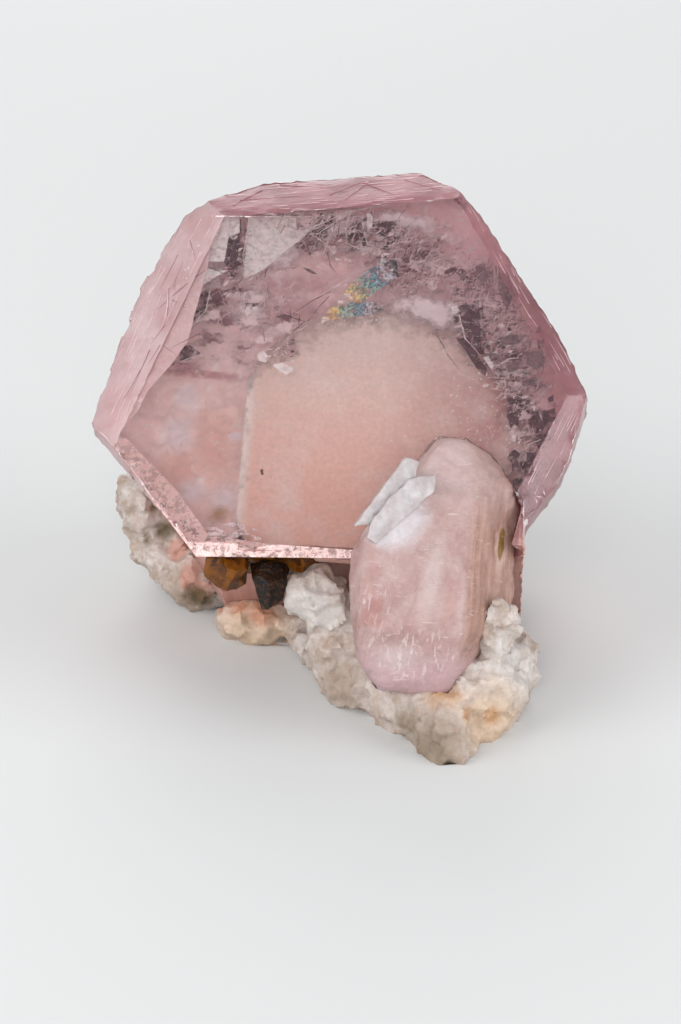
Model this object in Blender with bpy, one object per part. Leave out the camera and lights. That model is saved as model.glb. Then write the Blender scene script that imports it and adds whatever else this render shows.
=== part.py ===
"""Morganite crystal on albite matrix, a hand-sized mineral specimen.

Metres, +Z up. The origin is on the flat underside, near the middle of the footprint.
Every crystal is cut from a block by flat faces. A face is given by its azimuth around
the crystal's own axis, its tilt away from that axis, both in degrees, and its distance
in millimetres from the origin of the crystal's own frame.
"""
import random
from math import cos, radians, sin

import bmesh
import bpy
from mathutils import Matrix, Vector

MM = 0.001
GAP = 0.3                           # mm of clearance between pieces that touch
BLOCK = 160.0                       # mm, the blank that every crystal is cut from

# Main crystal: a thick six-sided plate on a narrower stem, leaning back
BASAL_CENTRE = Vector((-0.2, -5.9, 42.1))
BASAL_ELEVATION = 47                # the c axis rises this much above the horizontal
BASAL_TURN = 5                      # the c axis is turned this much to the left
PLATE_BACK = 13.0                   # mm from the basal face to the back of the plate
STEM_UNDER = 23.0                   # mm from the c axis to the underside of the stem

# Side crystal: a stubby six-sided prism, its front face a little to the right
SIDE_CENTRE = Vector((10.6, -32.0, 22.6))
SIDE_LEAN_BACK = 25
SIDE_LEAN_RIGHT = 4
SIDE_TURN = 5

# Albite matrix
ROCK_VOXEL = 1.2
ROCK_LUMP_SIZE = 7.0
ROCK_LUMP_HEIGHT = 2.8
ROCK_GRAIN_SIZE = 2.6
ROCK_GRAIN_HEIGHT = 1.7
ROCK_TRIANGLES = 3000


def bevel_face(azimuth, tilt, edge):
    """A face that meets the basal face along a line 'edge' mm from its centre."""
    return (azimuth, tilt, edge * sin(radians(tilt)))


PLATE_FACES = [
    (0, 0, 0.0),
    (0, 180, PLATE_BACK),
    # bevels around the basal face
    bevel_face(97, 30, 28.5),
    bevel_face(161, 30, 26.2),
    bevel_face(29, 35, 28.3),
    bevel_face(-23, 40, 30.0),
    # prism faces
    (96.5, 90, 35.7),
    (118, 90, 36.8),
    (154, 90, 35.1),
    (168, 90, 33.7),
    (-140, 89, 31.0),
    (-91, 90, 26.0),
    (-35, 90, 33.2),
    (-23, 90, 33.9),
    (-13, 90, 34.2),
    (4, 90, 35.6),
    (25, 90, 32.3),
    (33, 90, 31.5),
    (44, 90, 33.6),
    (57, 90, 35.8),
    # faces towards the back
    (100, 138, 32.0),
    (150, 135, 31.0),
    (-132, 118, 28.6),
    (-91, 130, 21.1),
    (-27, 132, 29.4),
    (33, 135, 29.6),
]

STEM_FACES = [
    (0, 0, -1.0),
    (-90, 90, STEM_UNDER),
    (2, 91, 26.4),
    (33, 91, 28.0),
    (-145, 91, 27.9),
    (180, 90, 26.0),
    (122, 91, 26.5),
    (62, 91, 27.5),
    # broken root, then the broken back
    (-94, 157, 39.6),
    (88, 119, 25.5),
]

# Local facets on the plate: azimuth, tilt, distance, place along the edge, length
LEDGES = [
    (176, 24, 9.6, 2.5, 15.0),
    (161, 38, 17.8, -14.0, 9.0),
    (158, 52, 25.6, 12.5, 7.5),
    (97, 48, 24.0, 8.0, 12.0),
    (97, 60, 30.4, -8.5, 6.5),
    (-23, 62, 29.2, 6.0, 9.0),
    (-91, 62, 22.0, -16.5, 8.5),
    (-91, 118, 21.5, 10.0, 9.0),
]
CHIP_EDGES = [(154, 35.1, 16), (168, 33.7, 22), (-140, 31.0, 22)]
CHIPS_PER_EDGE = 3
CHIP_DEPTH = 0.28

SIDE_FACES = [
    # prism
    (0, 90, 0.0),
    (22, 90, 2.4),
    (52, 90, 6.2),
    (-60, 90, 6.6),
    (120, 90, 16.9),
    (-120, 90, 9.3),
    (180, 90, 16.5),
    # top
    (0, 0, 20.8),
    (0, 50, 8.2),
    (55, 50, 14.8),
    (-60, 50, 10.2),
    (90, 29, 21.5),
    (90, 62, 18.6),
    (-90, 53, 9.9),
    (30, 66, 7.9),
    # lower end
    (0, 110, 2.0),
    (55, 110, 7.3),
    (-60, 104, 6.9),
    (-90, 105, 8.9),
    (-90, 130, 11.6),
    (120, 125, 15.3),
    (0, 180, 14.0),
]

# The side crystal's right face, and how far the main crystal keeps off it
RIGHT_FACE = (52, 90)
RIGHT_ROOM = 1.4

# Albite blades on the side crystal: outlines in mm across and up its front face
BLADE_THICKNESS = 1.3
LONG_BLADE = [(-9.3, 8.2), (-7.8, 10.4), (-5.2, 14.4), (-3.0, 17.7), (-1.3, 17.4), (-1.6, 14.9),
              (-3.4, 11.6), (-5.6, 8.8)]
WIDE_BLADE = [(-6.5, 6.0), (-7.6, 6.6), (-7.2, 8.8), (-4.8, 12.2), (-2.4, 15.0), (0.9, 15.6), (0.9, 13.7),
              (-1.1, 11.4), (-3.2, 9.3), (-5.1, 7.2)]

# Quartz under the plate's lower edge: place across and behind the basal face, radius, length
SMOKY_ROOT = (-9.0, -9.2, 2.9, 7.0)
BROWN_ROOTS = [(-14.6, -8.4, 2.8, 5.4), (-4.2, -8.2, 2.0, 2.4)]
BROWN_CRUST = (-17.4, -2.6, -12.5, -5.4, 1.0)

# Matrix lumps: centre and half sizes
LUMPS = [
    ((15.0, -26.0, 4.0), (11.4, 10.4, 8.4)),
    ((14.2, -34.0, 1.5), (4.6, 6.6, 5.6)),
    ((23.4, -21.0, 5.2), (4.6, 7.0, 5.2)),
    ((3.0, -20.0, 4.0), (6.6, 6.6, 7.0)),
    ((1.0, -20.0, 9.5), (5.2, 4.6, 6.0)),
    ((-3.0, -20.2, 15.2), (4.5, 3.6, 5.2)),
    ((-10.5, -1.0, 2.4), (8.0, 5.6, 3.4)),
    ((-29.0, 15.0, 13.6), (4.8, 6.4, 5.8)),
    ((-26.5, 13.0, 7.4), (5.2, 6.0, 4.6)),
    ((-21.0, 9.0, 5.4), (5.4, 6.0, 5.0)),
    ((2.0, 16.0, 6.0), (24.0, 15.0, 11.0)),
    ((-19.0, 19.0, 8.0), (11.0, 11.0, 10.5)),
    ((18.0, 12.0, 7.0), (9.0, 14.0, 11.0)),
    ((5.0, 26.0, 9.0), (17.0, 8.0, 12.0)),
    ((-8.0, 27.0, 7.0), (11.0, 8.0, 10.0)),
    ((8.0, -6.0, 3.0), (16.0, 15.0, 5.0)),
]

# Albite fan at the right of the side crystal: root, step between plates, then tilt and length of each
FAN_ROOT = Vector((21.2, -29.6, 10.6))
FAN_STAGGER = 0.43
FAN_PLATES = [(-16, 8.6), (2, 9.0), (18, 7.6), (34, 5.6)]


# --- general tools -----------------------------------------------------------------

def clear_scene():
    for obj in list(bpy.data.objects):
        bpy.data.objects.remove(obj, do_unlink=True)


def make_material(name, colour, roughness, transmission=0.0):
    material = bpy.data.materials.new(name)
    material.use_nodes = True
    shader = material.node_tree.nodes["Principled BSDF"]
    shader.inputs["Base Color"].default_value = (*colour, 1.0)
    shader.inputs["Roughness"].default_value = roughness
    shader.inputs["Transmission Weight"].default_value = transmission
    material.diffuse_color = (*colour, 1.0)
    return material


def add_object(name, bm, frame, material):
    """Turn a bmesh in millimetres, in its own frame, into an object in metres."""
    bmesh.ops.recalc_face_normals(bm, faces=bm.faces)
    bm.transform(Matrix.Scale(MM, 4) @ frame)
    mesh = bpy.data.meshes.new(name)
    bm.to_mesh(mesh)
    bm.free()
    mesh.materials.append(material)
    obj = bpy.data.objects.new(name, mesh)
    bpy.context.collection.objects.link(obj)
    return obj


def bake_modifiers(obj):
    """Replace the object's mesh by the shape that its modifiers give."""
    graph = bpy.context.evaluated_depsgraph_get()
    mesh = bpy.data.meshes.new_from_object(obj.evaluated_get(graph))
    obj.modifiers.clear()
    obj.data = mesh


def combine(target, others, operation):
    """Boolean the other objects into the target, then remove them."""
    for other in others:
        modifier = target.modifiers.new(operation.lower(), "BOOLEAN")
        modifier.operation = operation
        modifier.solver = "EXACT"
        modifier.object = other
        bake_modifiers(target)
        bpy.data.objects.remove(other, do_unlink=True)


def keep_largest_body(obj):
    """Drop the crumbs that a cut leaves loose."""
    bm = bmesh.new()
    bm.from_mesh(obj.data)
    unseen = set(bm.verts)
    bodies = []
    while unseen:
        stack = [unseen.pop()]
        body = set(stack)
        while stack:
            vert = stack.pop()
            for edge in vert.link_edges:
                other = edge.other_vert(vert)
                if other in unseen:
                    unseen.discard(other)
                    body.add(other)
                    stack.append(other)
        bodies.append(body)
    bodies.sort(key=len)
    for crumb in bodies[:-1]:
        bmesh.ops.delete(bm, geom=list(crumb), context="VERTS")
    bm.to_mesh(obj.data)
    bm.free()


def axes_frame(right, up, axis, origin):
    frame = Matrix((right, up, axis)).transposed().to_4x4()
    frame.translation = origin
    return frame


def basal_frame():
    """X to the right, Y up the basal face and Z out of it along the c axis."""
    e = radians(BASAL_ELEVATION)
    t = radians(BASAL_TURN)
    axis = Vector((-sin(t) * cos(e), -cos(t) * cos(e), sin(e)))
    right = Vector((cos(t), -sin(t), 0.0))
    return axes_frame(right, axis.cross(right), axis, BASAL_CENTRE)


def side_frame():
    """X out of the front face, Y to the right and Z up along the side crystal's axis."""
    back = radians(SIDE_LEAN_BACK)
    axis = Vector((sin(radians(SIDE_LEAN_RIGHT)), sin(back), cos(back))).normalized()
    front = Vector((sin(radians(SIDE_TURN)), -cos(radians(SIDE_TURN)), 0.0))
    front = (front - axis * front.dot(axis)).normalized()
    return axes_frame(front, axis.cross(front), axis, SIDE_CENTRE)


def cut_block(faces, offset=0.0):
    """A convex crystal: what is left of a block inside all of its faces."""
    bm = bmesh.new()
    bmesh.ops.create_cube(bm, size=BLOCK)
    for azimuth, tilt, distance in faces:
        a = radians(azimuth)
        t = radians(tilt)
        normal = Vector((sin(t) * cos(a), sin(t) * sin(a), cos(t)))
        geometry = bm.verts[:] + bm.edges[:] + bm.faces[:]
        cut = bmesh.ops.bisect_plane(
            bm, geom=geometry, plane_co=normal * (distance + offset), plane_no=normal, clear_outer=True)
        rim = [item for item in cut["geom_cut"] if isinstance(item, bmesh.types.BMEdge)]
        if rim:
            bmesh.ops.contextual_create(bm, geom=rim)
    return bm


def box(low, high):
    """An upright box between two corners."""
    bm = bmesh.new()
    bmesh.ops.create_cube(bm, size=1.0)
    size = [b - a for a, b in zip(low, high)]
    centre = [(a + b) / 2 for a, b in zip(low, high)]
    bm.transform(Matrix.Translation(centre) @ Matrix.Diagonal((*size, 1.0)))
    return bm


def plate_from_outline(outline, low, high):
    """A flat blade: an outline in the frame's XY plane, extruded from low to high."""
    bm = bmesh.new()
    bottom = bm.faces.new([bm.verts.new((x, y, low)) for x, y in outline])
    top = bmesh.ops.extrude_face_region(bm, geom=[bottom])
    verts = [item for item in top["geom"] if isinstance(item, bmesh.types.BMVert)]
    bmesh.ops.translate(bm, verts=verts, vec=(0, 0, high - low))
    return bm


# --- crystals ----------------------------------------------------------------------

def facet_cutter(azimuth, tilt, distance, along, length, frame, material):
    """A box that cuts one local facet, 'length' long, into the rim of the plate."""
    a = radians(azimuth)
    t = radians(tilt)
    normal = Vector((sin(t) * cos(a), sin(t) * sin(a), cos(t)))
    edge = Vector((-sin(a), cos(a), 0.0))
    local = axes_frame(edge, normal.cross(edge), normal, normal * distance + edge * along)
    reach = 14.0
    block = box((-length / 2, -reach, 0), (length / 2, reach, reach))
    return add_object("facet", block, frame @ local, material)


def chip_facets():
    """Small nicks at uneven places along the rim."""
    rng = random.Random(11)
    facets = []
    for azimuth, distance, length in CHIP_EDGES:
        for i in range(CHIPS_PER_EDGE):
            along = length * ((i + 0.5) / CHIPS_PER_EDGE - 0.5) + rng.uniform(-1.5, 1.5)
            tilt = rng.uniform(84, 97)
            depth = CHIP_DEPTH * rng.uniform(0.6, 1.3)
            turn = rng.uniform(-4, 4)
            drop = 4.0 * cos(radians(tilt))
            facets.append((azimuth + turn, tilt, (distance - depth) * sin(radians(tilt)) - drop, along,
                           rng.uniform(2.5, 4.5)))
    return facets


def make_main_crystal(material):
    frame = basal_frame()
    plate = add_object("main_crystal", cut_block(PLATE_FACES), frame, material)
    cutters = [facet_cutter(*facet, frame, material) for facet in LEDGES + chip_facets()]
    combine(plate, cutters, "DIFFERENCE")
    stem = add_object("stem", cut_block(STEM_FACES), frame, material)
    combine(plate, [stem], "UNION")
    combine(plate, side_crystal_space(material, RIGHT_ROOM), "DIFFERENCE")
    keep_largest_body(plate)
    return plate


def main_crystal_space(material):
    """The main crystal's plate and stem with clearance all round, to cut its neighbours."""
    frame = basal_frame()
    both = (PLATE_FACES, STEM_FACES)
    return [add_object("space", cut_block(faces, GAP), frame, material) for faces in both]


def make_side_crystal(material):
    return add_object("side_crystal", cut_block(SIDE_FACES), side_frame(), material)


def side_crystal_space(material, right_room=0.0):
    """The side crystal with clearance, which leaves its socket in what it grew against."""
    faces = [(azimuth, tilt, distance + (right_room if (azimuth, tilt) == RIGHT_FACE else 0))
             for azimuth, tilt, distance in SIDE_FACES]
    return [add_object("space", cut_block(faces, GAP), side_frame(), material)]


def blade_on_front(outline, low):
    """A blade drawn across and up the side crystal's front face."""
    bm = plate_from_outline(outline, low, low + BLADE_THICKNESS)
    bm.transform(Matrix(((0, 0, 1, 0), (1, 0, 0, 0), (0, 1, 0, 0), (0, 0, 0, 1))))
    return bm


def make_blades(material):
    blade = add_object("albite_blades", blade_on_front(WIDE_BLADE, GAP), side_frame(), material)
    behind = add_object("long_blade", blade_on_front(LONG_BLADE, -0.7), side_frame(), material)
    combine(blade, [behind], "UNION")
    combine(blade, main_crystal_space(material) + side_crystal_space(material), "DIFFERENCE")
    keep_largest_body(blade)
    return blade


def hanging_quartz(across, behind, radius, length, root, offset=0.0):
    """A tapering six-sided quartz prism that hangs from the stem's underside."""
    faces = [(60 * i + 12, 96, radius) for i in range(6)]
    faces += [(60 * i + 12, 42, length * 0.74 + (i % 2) * radius * 0.2) for i in range(6)]
    faces += [(0, 180, 0.0)]
    bm = cut_block(faces, offset)
    origin = Vector((across, -root, behind))
    down = axes_frame(Vector((1, 0, 0)), Vector((0, 0, 1)), Vector((0, -1, 0)), origin)
    bm.transform(down)
    return bm


def smoky_body(offset=0.0):
    across, behind, radius, length = SMOKY_ROOT
    root = STEM_UNDER + BROWN_CRUST[4] + 2 * GAP + 0.2
    return hanging_quartz(across, behind, radius, length, root, offset)


def make_smoky_quartz(material):
    crystal = add_object("smoky_quartz", smoky_body(), basal_frame(), material)
    combine(crystal, main_crystal_space(material), "DIFFERENCE")
    return crystal


def brown_bodies(offset=0.0):
    left, right, behind, front, thickness = BROWN_CRUST
    top = -STEM_UNDER - GAP - 0.1 + offset
    low = (left - offset, top - thickness - 2 * offset, behind - offset)
    bodies = [box(low, (right + offset, top, front + offset))]
    bodies += [hanging_quartz(*root, STEM_UNDER + GAP + 0.1, offset) for root in BROWN_ROOTS]
    return bodies


def make_brown_quartz(material):
    frame = basal_frame()
    pieces = [add_object("brown_quartz", bm, frame, material) for bm in brown_bodies()]
    combine(pieces[0], pieces[1:], "UNION")
    smoky = add_object("space", smoky_body(GAP), frame, material)
    combine(pieces[0], main_crystal_space(material) + [smoky], "DIFFERENCE")
    keep_largest_body(pieces[0])
    return pieces[0]


# --- matrix ------------------------------------------------------------------------

def lump(centre, radii):
    bm = bmesh.new()
    bmesh.ops.create_icosphere(bm, subdivisions=3, radius=1.0)
    bm.transform(Matrix.Translation(centre) @ Matrix.Diagonal((*radii, 1.0)))
    return bm


def fan_plate(tilt, length):
    """One thin rounded plate of the fan, leaning 'tilt' degrees to the right."""
    outline = [(-0.9, -2.0), (-1.6, length * 0.6), (-1.1, length * 0.92), (0.0, length),
               (1.2, length * 0.9), (1.5, length * 0.6), (0.9, -2.0)]
    bm = plate_from_outline(outline, -0.6, 0.6)
    turn = Matrix.Rotation(radians(tilt), 4, "Y") @ Matrix.Rotation(radians(90), 4, "X")
    bm.transform(turn)
    return bm


def roughen(obj, size, height):
    texture = bpy.data.textures.new("rock", "CLOUDS")
    texture.noise_scale = size * MM
    texture.noise_depth = 2
    modifier = obj.modifiers.new("rough", "DISPLACE")
    modifier.texture = texture
    modifier.texture_coords = "LOCAL"
    modifier.strength = height * MM
    modifier.mid_level = 0.5


def make_matrix(material):
    world = Matrix.Identity(4)
    pieces = [add_object("albite_matrix", lump(centre, radii), world, material) for centre, radii in LUMPS]
    rock = pieces[0]
    with bpy.context.temp_override(active_object=rock, selected_editable_objects=pieces):
        bpy.ops.object.join()
    remesh = rock.modifiers.new("remesh", "REMESH")
    remesh.mode = "VOXEL"
    remesh.voxel_size = ROCK_VOXEL * MM
    roughen(rock, ROCK_LUMP_SIZE, ROCK_LUMP_HEIGHT)
    roughen(rock, ROCK_GRAIN_SIZE, ROCK_GRAIN_HEIGHT)
    bake_modifiers(rock)
    decimate = rock.modifiers.new("decimate", "DECIMATE")
    triangles = sum(len(polygon.vertices) - 2 for polygon in rock.data.polygons)
    decimate.ratio = ROCK_TRIANGLES / triangles
    bake_modifiers(rock)
    plates = [add_object("fan", fan_plate(tilt, length),
                         Matrix.Translation(FAN_ROOT + Vector((0, FAN_STAGGER * i, 0))), material)
              for i, (tilt, length) in enumerate(FAN_PLATES)]
    combine(rock, plates, "UNION")
    frame = basal_frame()
    spaces = main_crystal_space(material) + side_crystal_space(material)
    spaces += [add_object("space", bm, frame, material) for bm in [smoky_body(GAP)] + brown_bodies(GAP)]
    spaces += [add_object("floor", box((-BLOCK, -BLOCK, -BLOCK), (BLOCK, BLOCK, 0)), world, material)]
    combine(rock, spaces, "DIFFERENCE")
    keep_largest_body(rock)
    return rock


def main():
    clear_scene()
    pink = make_material("morganite", (0.75, 0.42, 0.38), 0.12, 0.6)
    frosted = make_material("frosted_morganite", (0.82, 0.55, 0.50), 0.45, 0.2)
    white = make_material("albite", (0.80, 0.75, 0.70), 0.65)
    smoky = make_material("smoky_quartz", (0.06, 0.035, 0.02), 0.15)
    brown = make_material("brown_quartz", (0.30, 0.17, 0.05), 0.25)
    make_main_crystal(pink)
    make_side_crystal(frosted)
    make_blades(white)
    make_smoky_quartz(smoky)
    make_brown_quartz(brown)
    make_matrix(white)


main()
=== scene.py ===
"""The looks of the morganite specimen: clear and milky pink beryl, white albite, brown quartz.

Metres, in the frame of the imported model: origin on the flat underside, +Z up, -Y to the front.
"""
import random
from math import cos, pi, radians, sin

import bpy
import numpy as np
from mathutils import Matrix, Vector


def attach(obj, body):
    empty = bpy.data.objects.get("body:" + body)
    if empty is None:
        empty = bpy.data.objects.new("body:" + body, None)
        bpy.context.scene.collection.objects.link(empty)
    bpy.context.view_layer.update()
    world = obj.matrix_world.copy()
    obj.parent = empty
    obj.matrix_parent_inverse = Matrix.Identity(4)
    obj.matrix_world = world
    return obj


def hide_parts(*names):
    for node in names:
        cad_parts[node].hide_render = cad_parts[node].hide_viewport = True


MM = 0.001

# The main crystal's own frame: X right, Y up the basal face, Z out of it along the c axis
BASAL_CENTRE = Vector((-0.2, -5.9, 42.1)) * MM
BASAL_ELEVATION = 47
BASAL_TURN = 5

# The side crystal: its centre, how its axis leans and how its front face turns, degrees
SIDE_CENTRE = Vector((10.6, -32.0, 22.6)) * MM
SIDE_LEAN_BACK = 25
SIDE_LEAN_RIGHT = 4
SIDE_TURN = 5

BERYL_IOR = 1.58
ALBITE_IOR = 1.53
QUARTZ_IOR = 1.54

# Prism faces of the main crystal that the inner sheets stay inside: azimuth and distance, mm
PRISM_FACES = ((96.5, 35.7), (118, 36.8), (154, 35.1), (168, 33.7), (-140, 31.0), (-91, 26.0),
               (-35, 33.2), (-13, 34.2), (4, 35.6), (33, 31.5), (44, 33.6))

# Depths behind the basal face of the veil and of the haze's flat top before it shrinks, mm
VEIL_DEPTH = 3.4
HAZE_DEPTH = 4.2

# The milky heart in the main crystal's frame, mm
HEART_CENTRE = Vector((6.5, -9.0, -5.4))
HEART_RADII = (23, 24, 3.6)
HEART_LEFT = 13.3

# Camera: a 100 mm lens on a 36 mm long side, looking down on the specimen
CAMERA_LENS = 100
CAMERA_LONG_SIDE = 36
CAMERA_ELEVATION = 25
CAMERA_AIM = Vector((0, -12, 25)) * MM
CAMERA_DISTANCE = 406 * MM

# Round softboxes: name, place in metres, width in metres, watts
LAMPS = [("left_softbox", (-0.75, -0.35, 0.55), 0.8, 5.0),
         ("right_softbox", (0.8, -0.3, 0.35), 0.7, 4.5),
         ("front_softbox", (-0.1, -1.1, 0.5), 0.7, 6.5),
         ("back_softbox", (-0.1, 0.9, 0.5), 0.7, 4.0)]
LAMP_AIM = Vector((0, -0.01, 0.03))

# Places on the basal face, mm: x, y, radius x, radius y, turn in degrees, softness of the rim.
# A tint is a colour, its strength and its places.
SHARD_ZONES = [(1.5, 25.0, 12.0, 4.0, -6, 0.8), (-17.5, 17.0, 4.6, 10.0, -14, 0.8),
               (-11.5, 9.0, 5.0, 4.0, 20, 0.9), (22.0, 7.0, 4.6, 9.0, 35, 0.8),
               (27.0, -7.0, 3.0, 9.0, 6, 0.8), (13.0, 19.5, 7.0, 3.4, -25, 0.9)]
GLOW_ZONES = [(12.4, 13.0, 5.4, 2.2, -14, 1.1), (-11.0, 22.0, 3.4, 2.6, 20, 1.1),
              (2.0, 27.0, 3.4, 1.2, 10, 1.1), (-4.0, 25.2, 1.6, 1.6, 40, 1.1),
              (7.5, 27.5, 5.0, 1.3, -4, 1.1), (-13.5, 12.5, 2.0, 2.6, 0, 1.1)]
# The dark and grey zones are painted shade, standing for the dark surroundings seen through the crystal
DARK_SHADE_ZONES = [(9.9, 20.1, 4.4, 4.8, -20, 0.9), (6.4, 22.3, 3.0, 1.5, -35, 0.9),
               (18.3, 9.7, 2.2, 4.6, 8, 0.8), (18.5, 5.5, 1.6, 4.0, 38, 0.8),
               (21.5, 3.0, 2.6, 3.0, 30, 0.8), (25.0, -1.3, 2.6, 1.4, 0, 0.8),
               (28.6, -4.0, 2.0, 2.8, 0, 0.8), (27.7, -10.4, 1.4, 3.4, -15, 0.8),
               (25.4, -13.9, 1.8, 1.4, 0, 0.8), (24.0, -5.5, 1.6, 2.4, 20, 0.9),
               (-16.9, 20.6, 0.9, 4.2, -18, 0.7), (-7.6, 5.6, 1.5, 1.6, 0, 0.6),
               (-23.5, 3.0, 2.6, 0.7, 4, 0.7), (25.0, -8.6, 1.6, 2.6, 0, 0.8)]
GREY_SHADE_ZONES = [(20.8, 16.9, 2.8, 4.6, 25, 0.8), (24.4, 7.4, 3.8, 3.4, -20, 0.8),
               (27.6, 2.2, 1.2, 1.4, 0, 0.7), (-18.2, 23.6, 1.6, 2.6, -15, 0.8)]
BROWN_DEPTHS = [(15.3, 6.6, 1.0, 3.6, 36, 0.8)]
HEART_PLACES = [(5.5, -9.5, 21.5, 22.0, 0, 0.3), (-4.5, -3.0, 9.5, 9.0, 0, 0.2),
                (-5.0, -18.0, 9.5, 9.0, 0, 0.25)]
HAZE_TINTS = [("FFD4D6", 0.6, [(8.0, 29.0, 9.0, 3.0, -5, 0.9), (-2.0, 22.0, 5.0, 5.0, 0, 1.0)]),
              ("C98F96", 0.55, [(-8.3, 16.9, 6.2, 1.5, 6, 0.9), (-7.0, 12.9, 4.6, 2.4, 0, 1.0)]),
              ("D89A9F", 0.6, [(31.1, 3.1, 2.0, 7.5, 0, 0.8), (29.0, -12.0, 3.0, 8.0, -12, 0.8),
                               (26.0, 16.0, 2.4, 8.0, 28, 0.9)]),
              ("B9747D", 0.7, [(-19.6, 2.3, 5.6, 0.7, -3, 0.8), (-23.5, 3.2, 3.0, 0.9, 4, 0.8)]),
              ("FFDED6", 0.85, [(-19.0, -10.0, 8.0, 11.0, 15, 0.5)]),
              ("F6B9AC", 0.45, [(-17.5, -9.0, 2.6, 5.0, 0, 0.9), (-22.0, -12.0, 2.4, 3.0, 0, 0.9)]),
              ("FFF0F4", 0.85, [(-23.1, -7.1, 2.1, 2.6, 0, 1.1), (-22.0, -1.6, 1.8, 2.0, 0, 1.1),
                               (-20.0, -16.1, 2.0, 1.6, 20, 1.1), (-15.2, -16.7, 2.0, 1.8, 0, 1.1),
                               (-14.3, -7.2, 1.2, 0.7, 0, 0.9), (12.2, 12.8, 5.2, 2.4, -10, 1.1),
                               (-19.0, 21.0, 2.0, 4.0, -12, 1.1),
                               (-14.5, -24.0, 4.5, 1.5, 0, 0.9)]),
              ("B08048", 0.7, [(-16.0, -19.3, 1.3, 1.0, 20, 1.0)])]

# Places on the side crystal's front face, mm
# The first tint, pale on the top dome, is a painted highlight
SIDE_TINTS = [("EBDAD8", 0.25, [(3.2, 17.5, 5.5, 4.5, 0, 0.9)]),
              ("C4B4B1", 0.5, [(1.8, 2.0, 1.2, 5.0, -6, 1.0),
                               (-2.2, -9.5, 3.0, 1.6, 0, 1.0), (-5.0, 7.5, 2.0, 1.3, 0, 1.0)]),
              ("D2CBCF", 0.85, [(-3.6, 9.4, 3.6, 4.0, -40, 0.7), (-5.4, 6.8, 1.6, 1.1, 20, 0.8)]),
              ("A0685F", 0.5, [(-6.2, -3.4, 0.9, 2.3, -34, 0.6), (-5.6, -4.6, 1.0, 1.0, 0, 0.6)]),
              ("B07C74", 0.3, [(-6.6, 1.5, 1.0, 3.4, 0, 1.0), (4.6, -1.5, 1.4, 3.0, 0, 1.0)]),
              ("946C5E", 0.5, [(8.3, -2.5, 1.0, 5.0, 0, 0.9)]),
              ("C4A297", 0.8, [(12.1, 6.2, 1.1, 3.2, -6, 0.5)]),
              ("7E5A12", 0.95, [(12.0, 6.9, 0.5, 2.4, -6, 0.3)])]
FLECK_PLACES = [(-1.5, -8.6, 7.5, 3.4, 0, 0.7), (-6.0, -2.5, 2.2, 2.6, 0, 0.8)]

# Places in the albite rock, mm: x, y, z, radius, softness of the rim
ROCK_TINTS = [("CCC4BF", 0.9, [(-4.3, -23.2, 15.5, 4.6, 0.8), (23.7, -28.9, 8.5, 6.0, 1.0),
                               (22.6, -22.1, 14.0, 4.5, 0.8)]),
              ("95806E", 0.7, [(-22.5, 3.4, 3.4, 4.2, 1.0), (0.6, -25.1, 4.0, 3.4, 1.0)]),
              ("C9AD92", 0.8, [(-13.0, -6.0, 2.8, 5.5, 0.8), (21.0, -34.0, 3.0, 5.0, 1.0)]),
              ("86735E", 0.9, [(12.3, -39.5, 1.6, 4.2, 1.0), (9.0, -36.5, 4.0, 2.2, 1.0)]),
              ("BE8878", 0.8, [(-22.6, 3.7, 7.2, 1.9, 0.5), (-24.4, 7.6, 9.6, 1.7, 0.5),
                               (-21.0, 3.2, 5.0, 1.7, 0.5)]),
              ("BC8468", 0.85, [(-17.2, -1.5, 4.6, 1.6, 0.7), (-14.8, -3.6, 5.2, 1.6, 0.7),
                                (-11.6, -4.8, 5.2, 1.8, 0.7)]),
              ("5A4620", 0.9, [(-26.6, 10.1, 11.7, 1.5, 0.8), (-21.2, 3.7, 3.4, 2.0, 0.8),
                               (-29.0, 9.6, 10.0, 0.9, 0.8), (-28.5, 10.0, 15.5, 0.8, 0.8)]),
              ("B58454", 0.8, [(14.0, -34.5, 7.4, 2.2, 1.0), (20.8, -34.0, 4.1, 1.2, 0.9),
                               (17.5, -36.5, 5.4, 1.2, 0.9), (-3.4, -26.0, 8.8, 0.7, 0.9)])]

# Broken faces of the smoky quartz: a point on each in mm, and where it faces
QUARTZ_FACES = [((-12.9, -20, 20), (-1, 0, -0.3)), ((-7.0, -20, 20), (1, 0, -0.24)),
                ((-11.6, -21.2, 17), (-0.6, -1, 0.1)), ((-8.9, -21.4, 17), (0.5, -1, 0.1)),
                ((-10, -21, 14.6), (0.3, 0, -1))]

# Splinters and fibres: zone (x, y, radius x, radius y, turn), count, size, direction, depths; mm
# The dark splinters are painted shade for the dark surroundings seen through the crystal
DARK_SHADE_SPLINTERS = [((21.0, 9.0, 3.4, 7.5, 38), 30, 1.1, 120, (2.4, 3.2)),
                  ((26.5, 1.0, 2.4, 4.5, 20), 20, 1.2, 30, (2.4, 3.2)),
                  ((28.8, -4.6, 1.2, 2.4, 0), 12, 1.3, 100, (2.4, 3.2)),
                  ((27.2, -11.5, 1.0, 3.0, -10), 12, 1.2, 60, (2.4, 3.2)),
                  ((1.5, 25.0, 8.0, 3.2, -8), 26, 1.1, 35, (2.0, 3.2)),
                  ((-16.5, 19.5, 1.2, 4.5, -12), 8, 1.0, 70, (2.0, 3.0)),
                  ((-7.7, 5.4, 1.5, 1.9, 0), 12, 0.5, 0, (0.9, 1.3))]
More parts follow.
